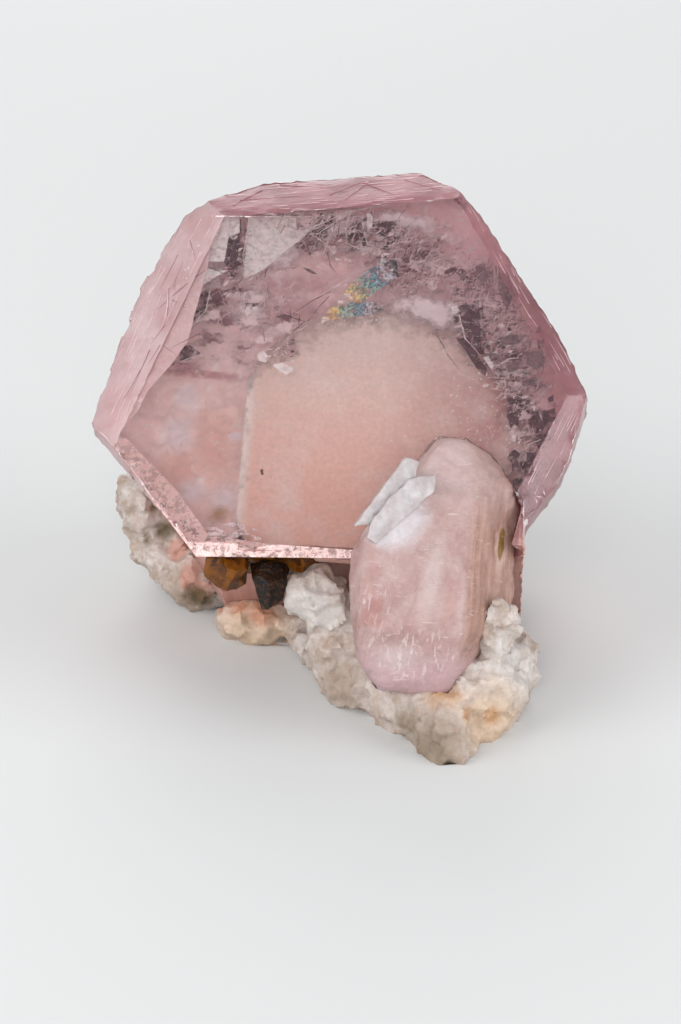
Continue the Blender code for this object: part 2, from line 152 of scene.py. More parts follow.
PALE_SPLINTERS = [((22.0, 7.0, 5.0, 9.0, 35), 60, 0.8, 30, (1.8, 3.0)),
                  ((1.5, 24.6, 9.0, 4.0, -8), 60, 1.0, 35, (1.4, 3.0)),
                  ((-18.0, 17.0, 4.5, 9.0, -12), 40, 0.9, 70, (1.2, 3.0)),
                  ((-13.5, -23.0, 4.5, 1.2, -5), 26, 1.1, 5, (0.4, 1.0)),
                  ((27.0, -8.0, 3.0, 9.0, 8), 40, 0.8, 70, (1.8, 3.0))]
WHITE_SPECKS = [((-9.5, 3.6, 2.6, 2.4, 0), 40, 0.35, 0, (0.7, 1.2)),
                ((1.0, 10.4, 5.0, 0.8, 8), 60, 0.28, 80, (0.9, 1.3)),
                ((3.6, 18.0, 3.0, 4.0, -40), 26, 0.26, 80, (1.0, 1.5)),
                ((15.0, 12.0, 3.0, 1.6, -20), 22, 0.3, 40, (1.0, 1.8)),
                ((-22.0, 20.0, 1.2, 5.0, -20), 26, 0.3, 60, (0.6, 1.6)),
                ((8.0, -4.0, 16.0, 14.0, 0), 70, 0.16, 40, (0.8, 1.4)),
                ((21.0, -1.5, 5.0, 7.0, 25), 160, 0.3, 60, (0.8, 2.2)),
                ((14.0, 19.5, 4.0, 2.0, -30), 60, 0.25, 50, (1.4, 2.4))]
FIBRE_FELT = [((-11.0, 12.5, 6.0, 6.0, 30), 50, 1.5, 45, (0.6, 1.6)),
              ((0.0, 24.8, 11.0, 3.0, -6), 60, 1.7, 40, (0.6, 1.8)),
              ((9.0, 20.5, 5.0, 5.0, -30), 170, 1.6, 40, (2.0, 3.2)),
              ((20.5, 14.5, 4.4, 8.5, 30), 200, 1.6, 50, (2.0, 3.2)),
              ((25.5, 3.0, 3.6, 6.5, 15), 120, 1.5, 30, (2.0, 3.2)),
              ((27.6, -10.0, 2.0, 6.0, 5), 60, 1.3, 60, (2.0, 3.2)),
              ((1.0, 25.0, 8.5, 3.6, -8), 70, 2.2, 25, (1.8, 3.2)),
              ((-19.0, 15.0, 3.6, 8.0, -15), 34, 2.0, 65, (1.4, 3.0))]

# Faces of the main crystal, the basal face first, then the bevels round it: azimuth, polar angle
# from the c axis, distance from the basal centre in mm, frost 0 to 1, depth of tone 0 to 1
FACE_SKINS = [(0, 0, 0, 0.0, 0.0), (97, 30, 14.25, 0.62, 0.95), (161, 30, 13.1, 0.55, 0.0),
              (29, 35, 16.2, 0.3, 0.9), (-23, 40, 19.3, 0.34, 1.0), (96.5, 90, 35.7, 0.4, 0.8),
              (118, 90, 36.8, 0.4, 0.5), (154, 90, 35.1, 0.5, 0.2), (168, 90, 33.7, 0.5, 0.2),
              (-140, 89, 31.0, 0.5, 0.3), (-91, 90, 26.0, 0.4, 0.5), (-35, 90, 33.2, 0.4, 0.5),
              (-23, 90, 33.9, 0.4, 0.5), (-13, 90, 34.2, 0.4, 0.5), (4, 90, 35.6, 0.4, 0.5),
              (25, 90, 32.3, 0.4, 0.5), (33, 90, 31.5, 0.4, 0.5), (44, 90, 33.6, 0.4, 0.5),
              (57, 90, 35.8, 0.4, 0.5), (100, 138, 32, 0.5, 0.6), (150, 135, 31, 0.5, 0.6),
              (-132, 118, 28.6, 0.4, 0.6), (-91, 130, 21.1, 0.4, 0.7), (-27, 132, 29.4, 0.4, 0.7),
              (33, 135, 29.6, 0.5, 0.7), (0, 180, 13.0, 0.5, 0.8)]
BEVELS = [face[:3] for face in FACE_SKINS[1:5]]

# The stem begins past the plate's faces and fades in; broken corners lie inside them, mm
STEM_FROST = 0.8
STEM_TONE = 2.0
STEM_START = 0.1
STEM_FADE = 1.6
BROKEN_FROST = 0.35
BROKEN_TONE = 0.9
BROKEN_DEPTH = 1.5

# Opened fractures behind the basal face: depth behind it and outline on it, mm
PALE_FILMS = [
    (0.7, [(-20.2, 26.4), (-16.6, 27.6), (-16.2, 24.6), (-17.4, 19.6), (-20.6, 19.5),
           (-20.8, 20.6)]),
    (2.0, [(-15.0, 27.2), (-11.6, 27.4), (-8.2, 27.4), (-8.0, 25.3), (-9.9, 24.1), (-9.3, 22.0),
           (-11.1, 20.0), (-12.9, 18.3), (-15.2, 17.2), (-15.3, 20.7)]),
    (2.2, [(-5.3, 27.8), (-5.1, 27.1), (-5.9, 25.4), (-7.5, 23.6), (-9.3, 22.0), (-9.9, 24.2),
           (-8.1, 25.3), (-5.3, 25.8)]),
    (0.5, [(-20.9, 18.3), (-17.5, 18.1), (-19.1, 17.0), (-21.2, 15.3)]),
    (1.4, [(-14.8, 12.4), (-12.2, 12.8), (-14.2, 10.9)]),
    (1.6, [(2.2, 28.2), (3.1, 28.1), (3.1, 26.0), (2.4, 25.5)]),
    (0.3, [(-12.1, 4.6), (-11.4, 5.2), (-10.5, 4.4), (-10.7, 3.3), (-11.7, 3.5)]),
    (0.3, [(-9.8, 2.9), (-8.4, 3.4), (-6.6, 2.4), (-7.7, 1.4)]),
    (1.9, [(15.1, 13.4), (16.2, 13.7), (16.3, 12.5), (15.6, 12.2)]),
    (1.8, [(20.2, 5.4), (20.9, 5.6), (21.8, 4.2), (21.5, 3.5), (20.7, 4.6)]),
]
# The dark films are painted shade for the dark surroundings seen through the crystal
DARK_SHADE_FILMS = [
    (0.4, [(-17.7, 23.7), (-16.1, 24.3), (-16.2, 20.5), (-16.4, 18.4), (-16.9, 17.3),
           (-18.1, 19.4)]),
    (1.3, [(-20.4, 14.9), (-19.8, 14.1), (-20.3, 11.2), (-22.1, 9.8), (-22.1, 12.2),
           (-21.3, 14.1)]),
    (1.3, [(-23.5, 5.8), (-22.1, 6.1), (-20.3, 4.8), (-21.9, 3.7), (-23.3, 3.4)]),
    (1.4, [(-4.2, 26.9), (-2.8, 27.7), (-2.6, 27.2), (-3.7, 26.0)]),
    (1.6, [(-5.8, 25.2), (-4.2, 25.8), (-3.1, 24.6), (-3.8, 24.1), (-5.1, 24.4)]),
    (1.4, [(-6.7, 23.7), (-4.1, 24.4), (-3.7, 22.5), (-5.8, 21.2)]),
    (1.6, [(-8.1, 23.0), (-6.8, 23.3), (-6.1, 21.7), (-7.8, 22.3)]),
    (1.3, [(-0.7, 25.3), (0.6, 27.0), (1.6, 26.7), (1.6, 23.5), (-0.3, 23.1)]),
    (1.5, [(1.5, 25.4), (2.6, 23.6), (2.1, 22.6), (1.4, 24.1)]),
    (1.5, [(-2.5, 29.4), (-1.9, 29.1), (-3.3, 27.2), (-3.2, 28.0)]),
    (1.5, [(2.7, 28.8), (3.3, 27.7), (3.0, 27.4)]),
    (1.3, [(3.6, 25.7), (5.0, 26.9), (7.2, 27.2), (6.5, 25.6), (4.4, 24.4)]),
    (1.1, [(-6.6, 19.0), (-5.4, 18.7), (-4.3, 17.9), (-5.6, 18.2)]),
    (1.3, [(-14.9, 13.0), (-12.2, 13.1), (-12.0, 12.5), (-14.4, 12.6)]),
    (1.7, [(16.4, 13.4), (17.5, 14.1), (19.3, 13.5), (19.9, 6.6), (19.0, 6.9), (16.9, 10.6)]),
    (1.7, [(16.1, 8.4), (18.1, 8.4), (20.0, 4.8), (20.9, 3.6), (20.6, 2.5), (19.1, 4.0),
           (17.6, 6.5)]),
    (1.6, [(23.8, -0.9), (26.1, -1.2), (25.6, -1.7), (24.2, -2.0)]),
    (1.6, [(27.3, -3.0), (28.4, -2.8), (28.8, -4.2), (28.2, -4.3)]),
    (1.6, [(29.4, -2.8), (30.7, -2.3), (30.9, -4.1), (29.6, -4.8), (29.0, -6.0), (28.5, -4.8)]),
    (1.6, [(28.5, -6.7), (30.4, -6.0), (30.2, -7.2), (29.2, -7.6)]),
    (1.6, [(27.0, -9.2), (28.4, -9.4), (28.1, -10.9), (27.8, -12.8), (26.6, -12.9), (27.0, -11.0)]),
    (1.6, [(24.8, -13.8), (26.6, -12.8), (26.3, -14.0), (25.2, -14.7)]),
    (1.6, [(25.0, -15.0), (26.2, -15.5), (25.3, -16.2)]),
    (1.5, [(24.0, -3.6), (25.0, -3.1), (26.2, -3.5), (25.6, -4.3), (25.9, -5.6), (25.0, -5.0),
           (24.6, -5.9), (24.3, -4.6)]),
    (1.5, [(24.6, -9.4), (25.3, -8.9), (26.1, -9.6), (25.8, -10.6), (26.0, -11.7),
           (25.1, -12.4), (25.0, -11.0), (24.3, -10.4)]),
    (1.7, [(29.6, -0.8), (30.4, -0.1), (30.5, -1.2), (29.8, -1.4)]),
    (1.8, [(27.6, 10.5), (28.1, 11.0), (28.3, 9.8), (27.4, 9.4)]),
    (1.8, [(27.7, 8.5), (28.7, 8.7), (28.7, 7.2), (28.0, 6.9)]),
]
# The grey films are lighter painted shade of the same kind
GREY_SHADE_FILMS = [
    (1.9, [(26.4, 6.2), (28.6, 6.9), (28.7, 4.4), (27.9, 3.6), (26.4, 4.6)]),
    (1.9, [(23.6, 4.2), (25.8, 5.2), (25.9, 4.0), (24.0, 3.0)]),
    (1.9, [(26.0, 1.8), (27.9, 2.8), (28.0, 2.0), (26.9, 0.3), (25.9, 1.2)]),
    (2.1, [(21.2, 20.3), (23.0, 19.1), (24.0, 15.6), (23.3, 13.1), (22.0, 15.9)]),
    (2.1, [(22.3, 8.6), (24.0, 9.3), (26.2, 9.3), (25.2, 7.8), (22.9, 7.4)]),
    (2.1, [(20.7, 6.1), (23.0, 6.4), (24.1, 5.6), (22.2, 4.6)]),
    (2.1, [(18.4, 19.9), (19.5, 20.9), (20.5, 18.1), (19.1, 16.7)]),
]

# Hair cracks: depth behind the basal face and run on it, mm
# The dark hair cracks carry the same painted shade as the dark films
DARK_LINES = [
    (1.4, [(-20.9, 18.7), (-24.3, 15.1)]),
    (1.4, [(-20.4, 18.4), (-18.7, 17.9), (-17.1, 16.9)]),
    (1.2, [(-3.1, 21.4), (-2.5, 19.2), (-1.4, 17.7)]),
    (1.2, [(-8.0, 18.5), (-7.1, 19.1)]),
    (1.2, [(-2.2, 15.1), (-4.8, 13.5), (-8.2, 10.7)]),
    (1.2, [(-2.4, 14.3), (-3.8, 12.5), (-5.2, 10.1)]),
    (1.2, [(-7.7, 10.8), (-5.5, 10.1)]),
    (1.2, [(-5.3, 10.2), (-3.8, 11.6)]),
    (1.4, [(-15.0, 17.0), (-16.9, 14.5), (-19.9, 11.7), (-22.2, 7.9)]),
    (1.4, [(-23.7, 8.1), (-22.2, 10.3)]),
    (1.2, [(-6.0, 9.8), (-9.1, 6.5)]),
    (1.6, [(-18.2, 18.3), (-15.8, 18.4), (-15.0, 20.6)]),
    (1.4, [(-0.3, 22.6), (0.8, 23.5)]),
    (1.4, [(3.7, 24.4), (6.5, 26.6), (8.5, 30.1)]),
    (1.4, [(4.5, 23.6), (7.3, 25.0), (9.8, 27.6)]),
    (1.4, [(0.5, 29.6), (1.9, 29.9)]),
    (1.6, [(13.3, 9.2), (15.1, 5.8), (16.9, 3.4)]),
    (0.5, [(-16.2, 26.2), (-15.9, 24.0), (-16.2, 20.5), (-16.6, 17.0)]),
]
PALE_LINES = [
    (1.2, [(-20.6, 27.0), (-16.5, 27.3), (-11.6, 27.5), (-5.3, 27.7)]),
    (1.2, [(-5.3, 27.7), (-5.0, 26.8)]),
    (1.2, [(-5.8, 24.3), (-4.2, 23.3), (-2.6, 21.9)]),
    (1.2, [(-7.4, 23.2), (-10.1, 20.6), (-14.0, 16.9)]),
    (1.2, [(-6.1, 25.1), (-3.2, 26.6), (-0.7, 28.0), (8.5, 30.3)]),
    (1.2, [(-0.3, 22.9), (1.4, 22.1), (4.6, 21.9)]),
    (1.2, [(-19.7, 14.7), (-20.1, 11.4), (-22.2, 8.2)]),
    (1.2, [(-15.0, 27.1), (-15.1, 22.9), (-15.4, 20.5), (-15.0, 18.3)]),
    (1.2, [(-20.4, 14.9), (-21.3, 14.3), (-22.1, 12.2)]),
    (1.2, [(-2.3, 15.4), (-1.1, 16.1), (0.0, 17.2)]),
    (1.2, [(-5.0, 24.1), (-0.9, 27.5), (0.5, 29.7)]),
    (1.2, [(1.6, 26.4), (2.6, 22.9), (4.3, 22.5)]),
    (1.2, [(-23.2, 3.1), (-20.5, 4.3), (-18.5, 3.3)]),
    (1.2, [(-0.2, 28.0), (-0.7, 25.3), (-0.3, 22.6)]),
    (1.3, [(16.5, 12.0), (17.5, 8.3), (19.9, 5.6)]),
    (1.3, [(22.2, 4.1), (24.1, 5.4), (25.8, 5.5)]),
    (1.3, [(23.4, 2.9), (28.1, 4.3)]),
    (1.3, [(26.9, -8.0), (29.4, -6.7), (28.6, -9.1)]),
    (1.3, [(28.4, -2.8), (29.0, -4.1), (29.1, -4.4)]),
    (1.3, [(25.5, -15.3), (28.2, -11.6), (29.2, -8.8)]),
]

# Level etched steps by the left edge of the basal face, and pink mist by its lower edge
ETCHED_STEPS = [
    (0.15, [(-19.9, 26.5), (-20.3, 18.9), (-21.6, 10.8), (-22.3, 6.3), (-24.2, 2.8), (-27.4, -1.8),
            (-28.3, -4.6), (-30.1, -7.3), (-31.0, -9.2), (-27.2, 1.2), (-23.2, 12.8),
            (-18.9, 25.3)]),
]
ROOT_MIST = [
    (0.6, [(-29.9, -9.0), (-21.8, -17.0), (-16.8, -23.6), (-8.0, -24.6), (4.0, -25.2), (4.6, -26.4),
           (-18.3, -26.8), (-24.2, -19.6), (-31.6, -10.2)]),
]

# Painted highlights: bright lines along the upper edge of the basal face
EDGE_HIGHLIGHTS = [
    (0.3, [(-19.9, 26.5), (-12.4, 26.6), (-5.0, 26.9)]),
    (0.3, [(-5.0, 26.9), (-0.9, 27.8)]),
]
BROWN_SPECKS = [
    (2.0, [(-10.4, -13.0), (-10.0, -12.9), (-9.9, -13.8), (-10.2, -13.9)]),
    (2.0, [(-8.9, -14.0), (-8.7, -14.0), (-8.7, -14.2)]),
    (2.0, [(-13.4, -13.1), (-13.2, -13.1), (-13.2, -13.2)]),
]

# Scratches on the left and top bevels, mm in the main crystal's frame
BEVEL_SCRATCHES = [
    [(-20.6, 17.6, -0.3), (-23.9, 14.9, -0.66), (-27.4, 11.9, -2.04)],
    [(-25.8, 8.8, -0.58), (-27.8, 5.8, -1.09)],
    [(-27.6, 7.0, -1.22), (-23.7, 3.9, -0.3)],
    [(-26.2, 5.4, -0.14), (-27.7, 2.3, -0.37)],
    [(-19.6, 8.1, -0.3), (-22.3, 6.4, -0.3), (-24.6, 5.0, -0.3)],
    [(-23.6, 23.4, -2.11), (-22.1, 19.1, -0.51)],
    [(-25.2, 21.2, -2.57), (-27.4, 15.4, -2.68)],
    [(-28.8, 1.7, -0.90), (-30.6, -2.7, -1.04)],
    [(-27.7, 4.9, -0.86), (-29.8, -1.9, -0.75)],
    [(-20.2, 14.4, -0.3), (-21.8, 10.1, -0.3)],
    [(-24.2, 19.6, -1.76), (-25.7, 14.6, -1.62)],
    [(-25.2, 13.1, -1.06), (-22.8, 11.4, -0.3)],
    [(-16.7, 30.2, -2.01), (-7.9, 31.1, -1.90)],
    [(-3.5, 31.3, -1.70), (1.0, 34.4, -3.17), (6.9, 30.7, -0.64)],
    [(-13.7, 32.6, -3.17), (-17.7, 28.8, -1.26)],
    [(-1.1, 30.1, -0.84), (2.4, 34.9, -3.34)],
    [(7.3, 34.8, -2.96), (12.7, 32.4, -1.17)],
    [(-11.2, 33.8, -3.68), (-3.6, 33.0, -2.68)],
]

# The two cracks with interference colours: depth and outline, mm
UPPER_RAINBOW = [
    (1.7, [(-1.2, 13.6), (1.8, 13.2), (4.6, 15.8), (7.4, 18.2), (7.0, 20.6), (5.0, 21.0),
           (2.6, 18.6), (0.4, 16.4)]),
]
LOWER_RAINBOW = [
    (1.5, [(-3.8, 9.6), (-2.6, 10.6), (0.4, 11.2), (4.0, 11.8), (5.6, 12.6), (4.2, 13.8),
           (0.8, 13.6), (-2.4, 12.6)]),
]

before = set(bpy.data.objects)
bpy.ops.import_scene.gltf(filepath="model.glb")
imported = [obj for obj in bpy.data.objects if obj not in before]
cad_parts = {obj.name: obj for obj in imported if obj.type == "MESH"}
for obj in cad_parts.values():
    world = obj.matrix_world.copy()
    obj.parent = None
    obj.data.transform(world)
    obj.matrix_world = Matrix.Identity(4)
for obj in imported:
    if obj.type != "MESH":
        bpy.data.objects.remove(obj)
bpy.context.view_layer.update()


# --- frames ------------------------------------------------------------------------

def axes_matrix(right, up, axis, origin):
    matrix = Matrix((right, up, axis)).transposed().to_4x4()
    matrix.translation = origin
    return matrix


def basal_matrix():
    e = radians(BASAL_ELEVATION)
    t = radians(BASAL_TURN)
    axis = Vector((-sin(t) * cos(e), -cos(t) * cos(e), sin(e)))
    right = Vector((cos(t), -sin(t), 0.0))
    return axes_matrix(right, axis.cross(right), axis, BASAL_CENTRE)


def side_face_matrix():
    """The side crystal's front face: X right, Y up along its axis, Z out of the face."""
    back = radians(SIDE_LEAN_BACK)
    axis = Vector((sin(radians(SIDE_LEAN_RIGHT)), sin(back), cos(back))).normalized()
    front = Vector((sin(radians(SIDE_TURN)), -cos(radians(SIDE_TURN)), 0.0))
    front = (front - axis * front.dot(axis)).normalized()
    return axes_matrix(axis.cross(front), axis, front, SIDE_CENTRE)


BASAL = basal_matrix()
SIDE_FACE = side_face_matrix()
WORLD = Matrix.Identity(4)


# --- modelling helpers -------------------------------------------------------------

def only(obj):
    """Selects one object and makes it the active one."""
    bpy.ops.object.select_all(action="DESELECT")
    obj.select_set(True)
    bpy.context.view_layer.objects.active = obj


def edit(obj):
    only(obj)
    bpy.ops.object.mode_set(mode="EDIT")
    bpy.ops.mesh.select_mode(type="VERT")
    bpy.ops.mesh.select_all(action="SELECT")


def done():
    bpy.ops.object.mode_set(mode="OBJECT")


def copy_of_solid(name, node):
    """A welded copy of a CAD node's mesh, with its flat faces in one piece each."""
    obj = bpy.data.objects.new(name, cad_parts[node].data.copy())
    bpy.context.scene.collection.objects.link(obj)
    obj.data.materials.clear()
    edit(obj)
    bpy.ops.mesh.remove_doubles(threshold=0.02 * MM)
    bpy.ops.mesh.dissolve_limited(angle_limit=radians(0.4))
    done()
    return obj


def bisect(point, normal, trim=False, cap=False):
    """Cuts the mesh in edit mode along a plane, and takes off what is past it where asked."""
    bpy.ops.mesh.select_all(action="SELECT")
    bpy.ops.mesh.bisect(plane_co=point, plane_no=normal, clear_outer=trim, use_fill=cap)


def cut_to_cells(obj, matrix, cell, low, high):
    """Cuts every face of a solid into small flat cells along the three directions of a frame."""
    edit(obj)
    for axis in range(3):
        normal = matrix.col[axis].to_3d()
        offset = low[axis] + cell / 2
        while offset < high[axis]:
            bisect(matrix.translation + normal * offset * MM, normal)
            offset += cell
    done()


def apply_place(obj):
    only(obj)
    bpy.ops.object.transform_apply(location=True, rotation=True, scale=True)


def reshape(obj, *steps):
    """Adds modifiers, each a kind with its settings, and applies them in that order."""
    for kind, settings in steps:
        modifier = obj.modifiers.new(kind.lower(), kind)
        for key, value in settings.items():
            setattr(modifier, key, value)
    only(obj)
    for modifier in list(obj.modifiers):
        bpy.ops.object.modifier_apply(modifier=modifier.name)


def even_mesh(cell):
    """The step that rebuilds a solid as one closed mesh with faces of 'cell' mm."""
    return "REMESH", {"mode": "VOXEL", "voxel_size": cell * MM}


def swell(growth):
    """The step that moves the skin out by 'growth' mm."""
    return "DISPLACE", {"mid_level": 0, "strength": growth * MM}


def roughen(obj, kind, size, strength, group="", middle=0.5, **settings):
    """Moves the skin in or out by a pattern whose lumps measure 'size' mm, by up to 'strength' mm."""
    texture = bpy.data.textures.new("roughness", kind)
    texture.noise_scale = size * MM
    for key, value in settings.items():
        setattr(texture, key, value)
    reshape(obj, ("DISPLACE", {"texture": texture, "texture_coords": "LOCAL", "mid_level": middle,
                               "strength": strength * MM, "vertex_group": group}))


def smooth(obj, angle=None):
    """Shades the mesh smooth, all over or across edges of less than 'angle' degrees."""
    only(obj)
    if angle is None:
        bpy.ops.object.shade_smooth()
    else:
        bpy.ops.object.shade_smooth_by_angle(angle=radians(angle))


def joined(name, parts):
    """Makes one object of several, and names it."""
    bpy.ops.object.select_all(action="DESELECT")
    for part in parts:
        part.select_set(True)
    bpy.context.view_layer.objects.active = parts[0]
    bpy.ops.object.join()
    parts[0].name = name
    return parts[0]


def finish_piece(obj, material, slot_name, *nodes):
    obj.data.materials.clear()
    obj.data.materials.append(material)
    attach(obj, "root")
    if nodes:
        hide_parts(*nodes)
    return obj


# --- material helpers --------------------------------------------------------------

def colour(hex_code):
    """sRGB hex to the linear values that a shader socket takes."""
    channels = [int(hex_code[i:i + 2], 16) / 255 for i in (0, 2, 4)]
    linear = [c / 12.92 if c <= 0.04045 else ((c + 0.055) / 1.055) ** 2.4 for c in channels]
    return (*linear, 1.0)


def node(tree, kind, inputs=None, out=0, **settings):
    """Adds a shader node with its settings, and its inputs set or linked; gives one of its outputs.
    A colour Mix takes its two colours at 6 and 7 and gives the mixed one at 2."""
    added = tree.nodes.new("ShaderNode" + kind)
    for name, value in settings.items():
        setattr(added, name, value)
    for name, value in (inputs or {}).items():
        if isinstance(value, bpy.types.NodeSocket):
            tree.links.new(value, added.inputs[name])
        else:
            added.inputs[name].default_value = value
    return added.outputs[out]


def new_material(name, sockets):
    material = bpy.data.materials.new(name)
    material.use_nodes = True
    tree = material.node_tree
    shader = tree.nodes["Principled BSDF"]
    for socket, value in sockets.items():
        shader.inputs[socket].default_value = value
    return material, tree, shader


def place_in(tree, matrix):
    """Object coordinates in millimetres, measured in the given frame."""
    coords = node(tree, "TexCoord", out="Object")
    return node(tree, "Mapping", {"Vector": coords, "Location": matrix.translation,
                                  "Rotation": matrix.to_euler(), "Scale": (MM, MM, MM)},
                vector_type="TEXTURE")


def any_of(tree, reaches):
    """1 within any spot and 0 outside all: each has its reach, 1 at its rim, and its softness."""
    total = None
    for reach, soft in reaches:
        mask = node(tree, "MapRange", {"Value": reach, "From Min": 1 + soft / 2,
                                       "From Max": 1 - soft / 2})
        total = mask if total is None else node(tree, "Math", {0: total, 1: mask}, operation="MAXIMUM")
    return total


def patches(tree, vector, spots, rim):
    """1 inside any of the ellipses (x, y, radius x, radius y, turn, softness) in mm, 0 outside."""
    reaches = []
    for x, y, rx, ry, turn, soft in spots:
        local = node(tree, "Mapping", {"Vector": vector, "Location": (x, y, 0),
                                       "Rotation": (0, 0, radians(turn)), "Scale": (rx, ry, 1000)},
                     vector_type="TEXTURE")
        length = node(tree, "VectorMath", {0: local}, out="Value", operation="LENGTH")
        reaches.append((node(tree, "Math", {0: length, 1: rim}, operation="ADD"), soft))
    return any_of(tree, reaches)


def lumps(tree, vector, spots, rim):
    """1 inside any of the balls (x, y, z, radius, softness) in mm, 0 outside."""
    reaches = []
    for x, y, z, radius, soft in spots:
        away = node(tree, "VectorMath", {0: vector, 1: (x, y, z)}, out="Value", operation="DISTANCE")
        ragged = node(tree, "Math", {0: away, 1: 1 / radius, 2: rim}, operation="MULTIPLY_ADD")
        reaches.append((ragged, soft))
    return any_of(tree, reaches)


def two_tone(tree, pattern, low, high, first, second):
    """One colour that turns to another as a pattern rises from 'low' to 'high'."""
    share = node(tree, "MapRange", {"Value": pattern, "From Min": low, "From Max": high})
    return node(tree, "Mix", {0: share, 6: colour(first), 7: colour(second)}, out=2, data_type="RGBA")


def laid_over(tree, base, pattern, start, end, most, code):
    """The base with a colour over it that covers up to 'most' as a pattern goes from 'start' to 'end'."""
    share = node(tree, "MapRange", {"Value": pattern, "From Min": start, "From Max": end,
                                    "To Max": most})
    return node(tree, "Mix", {0: share, 6: base, 7: colour(code)}, out=2, data_type="RGBA")


def stained(tree, base, spot, tints, rim, shape=patches):
    """The base with each tint (colour, strength, spots) laid over its own spots. A strength is a
    number or a pattern."""
    for code, strength, spots in tints:
        mask = node(tree, "Math", {0: shape(tree, spot, spots, rim), 1: strength},
                    operation="MULTIPLY")
        base = node(tree, "Mix", {0: mask, 6: base, 7: colour(code)}, out=2, data_type="RGBA")
    return base


def grained(tree, base, pattern, low, high, darkest, lightest):
    """The base made darker and lighter by a pattern that runs from 'low' to 'high'."""
    grain = node(tree, "MapRange", {"Value": pattern, "From Min": low, "From Max": high,
                                    "To Min": darkest, "To Max": lightest})
    return node(tree, "Mix", {0: 1.0, 6: base, 7: grain}, out=2, data_type="RGBA",
                blend_type="MULTIPLY")


def plain_material(name, code, roughness):
    """For threads and specks too fine to show a pattern."""
    return new_material(name, {"Base Color": colour(code), "Roughness": roughness})[0]


# --- materials ---------------------------------------------------------------------

def clear_morganite_material():
    """Pale pink beryl: glass clear on the basal face, frosted by etching on the others, with growth
    striae that run level round the rim, about 1 mm apart, and a salmon stem with lengthwise grooves."""
    material, tree, shader = new_material("clear_morganite", {"IOR": BERYL_IOR})
    spot = place_in(tree, BASAL)
    frost = node(tree, "Attribute", out="Fac", attribute_name="frost")
    tone = node(tree, "Attribute", out="Fac", attribute_name="tone")
    fine = node(tree, "TexNoise", {"Vector": spot, "Scale": 0.9, "Detail": 6.0, "Roughness": 0.65})
    coarse = node(tree, "TexNoise", {"Vector": spot, "Scale": 0.16, "Detail": 4.0, "Roughness": 0.6})
    level = node(tree, "VectorMath", {0: spot, 1: (0.14, 0.14, 1.1)}, operation="MULTIPLY")
    striae = node(tree, "TexNoise", {"Vector": level, "Scale": 1.0, "Detail": 4.0,
                                     "Roughness": 0.65, "Distortion": 0.6})
    striae = node(tree, "MapRange", {"Value": striae, "From Min": 0.3, "From Max": 0.7})
    clear = node(tree, "MapRange", {"Value": fine, "From Min": 0.35, "From Max": 0.7,
                                    "To Min": 0.88, "To Max": 1.06})
    frosted = node(tree, "Math", {0: frost, 1: clear}, operation="MULTIPLY", use_clamp=True)
    through = node(tree, "Math", {0: 1.0, 1: frosted}, operation="SUBTRACT")
    tree.links.new(through, shader.inputs["Transmission Weight"])
    dull = node(tree, "MapRange", {"Value": frost, "To Min": 0.04, "To Max": 0.6})
    tree.links.new(dull, shader.inputs["Roughness"])
    pale = two_tone(tree, coarse, 0.35, 0.65, "D5ADAE", "E9CFCF")
    banded = node(tree, "Math", {0: striae, 1: 0.25, 2: coarse}, operation="MULTIPLY_ADD")
    deep = two_tone(tree, banded, 0.45, 0.8, "945A62", "B97E85")
    skin = node(tree, "Mix", {0: tone, 6: pale, 7: deep}, out=2, data_type="RGBA")
    warm = node(tree, "Math", {0: tone, 1: 1.0}, operation="SUBTRACT", use_clamp=True)
    lengthwise = node(tree, "VectorMath", {0: spot, 1: (1.3, 1.3, 0.05)}, operation="MULTIPLY")
    grooves = node(tree, "TexNoise", {"Vector": lengthwise, "Scale": 1.0, "Detail": 6.0,
                                      "Roughness": 0.65, "Distortion": 0.3})
    bloom = node(tree, "Math", {0: coarse, 1: 0.9, 2: grooves}, operation="MULTIPLY_ADD")
    salmon = two_tone(tree, bloom, 0.7, 1.2, "B4756A", "D2A297")
    skin = node(tree, "Mix", {0: warm, 6: skin, 7: salmon}, out=2, data_type="RGBA")
    covered = node(tree, "MapRange", {"Value": frost, "From Max": 0.3})
    base = node(tree, "Mix", {0: covered, 6: colour("FFF6F5"), 7: skin}, out=2, data_type="RGBA")
    tree.links.new(base, shader.inputs["Base Color"])
    waves = node(tree, "Math", {0: coarse, 1: 3.0, 2: fine}, operation="MULTIPLY_ADD")
    relief = node(tree, "Math", {0: striae, 1: frost, 2: waves}, operation="MULTIPLY_ADD")
    grooved = node(tree, "Math", {0: grooves, 1: 2.5}, operation="MULTIPLY")
    relief = node(tree, "Mix", {0: warm, 2: relief, 3: grooved}, out=0)
    bump = node(tree, "Bump", {"Strength": 0.28, "Distance": 0.25 * MM, "Height": relief})
    tree.links.new(bump, shader.inputs["Normal"])
    absorption = node(tree, "VolumeAbsorption", {"Color": colour("F4C4C2"), "Density": 6.0})
    tree.links.new(absorption, tree.nodes["Material Output"].inputs["Volume"])
    return material


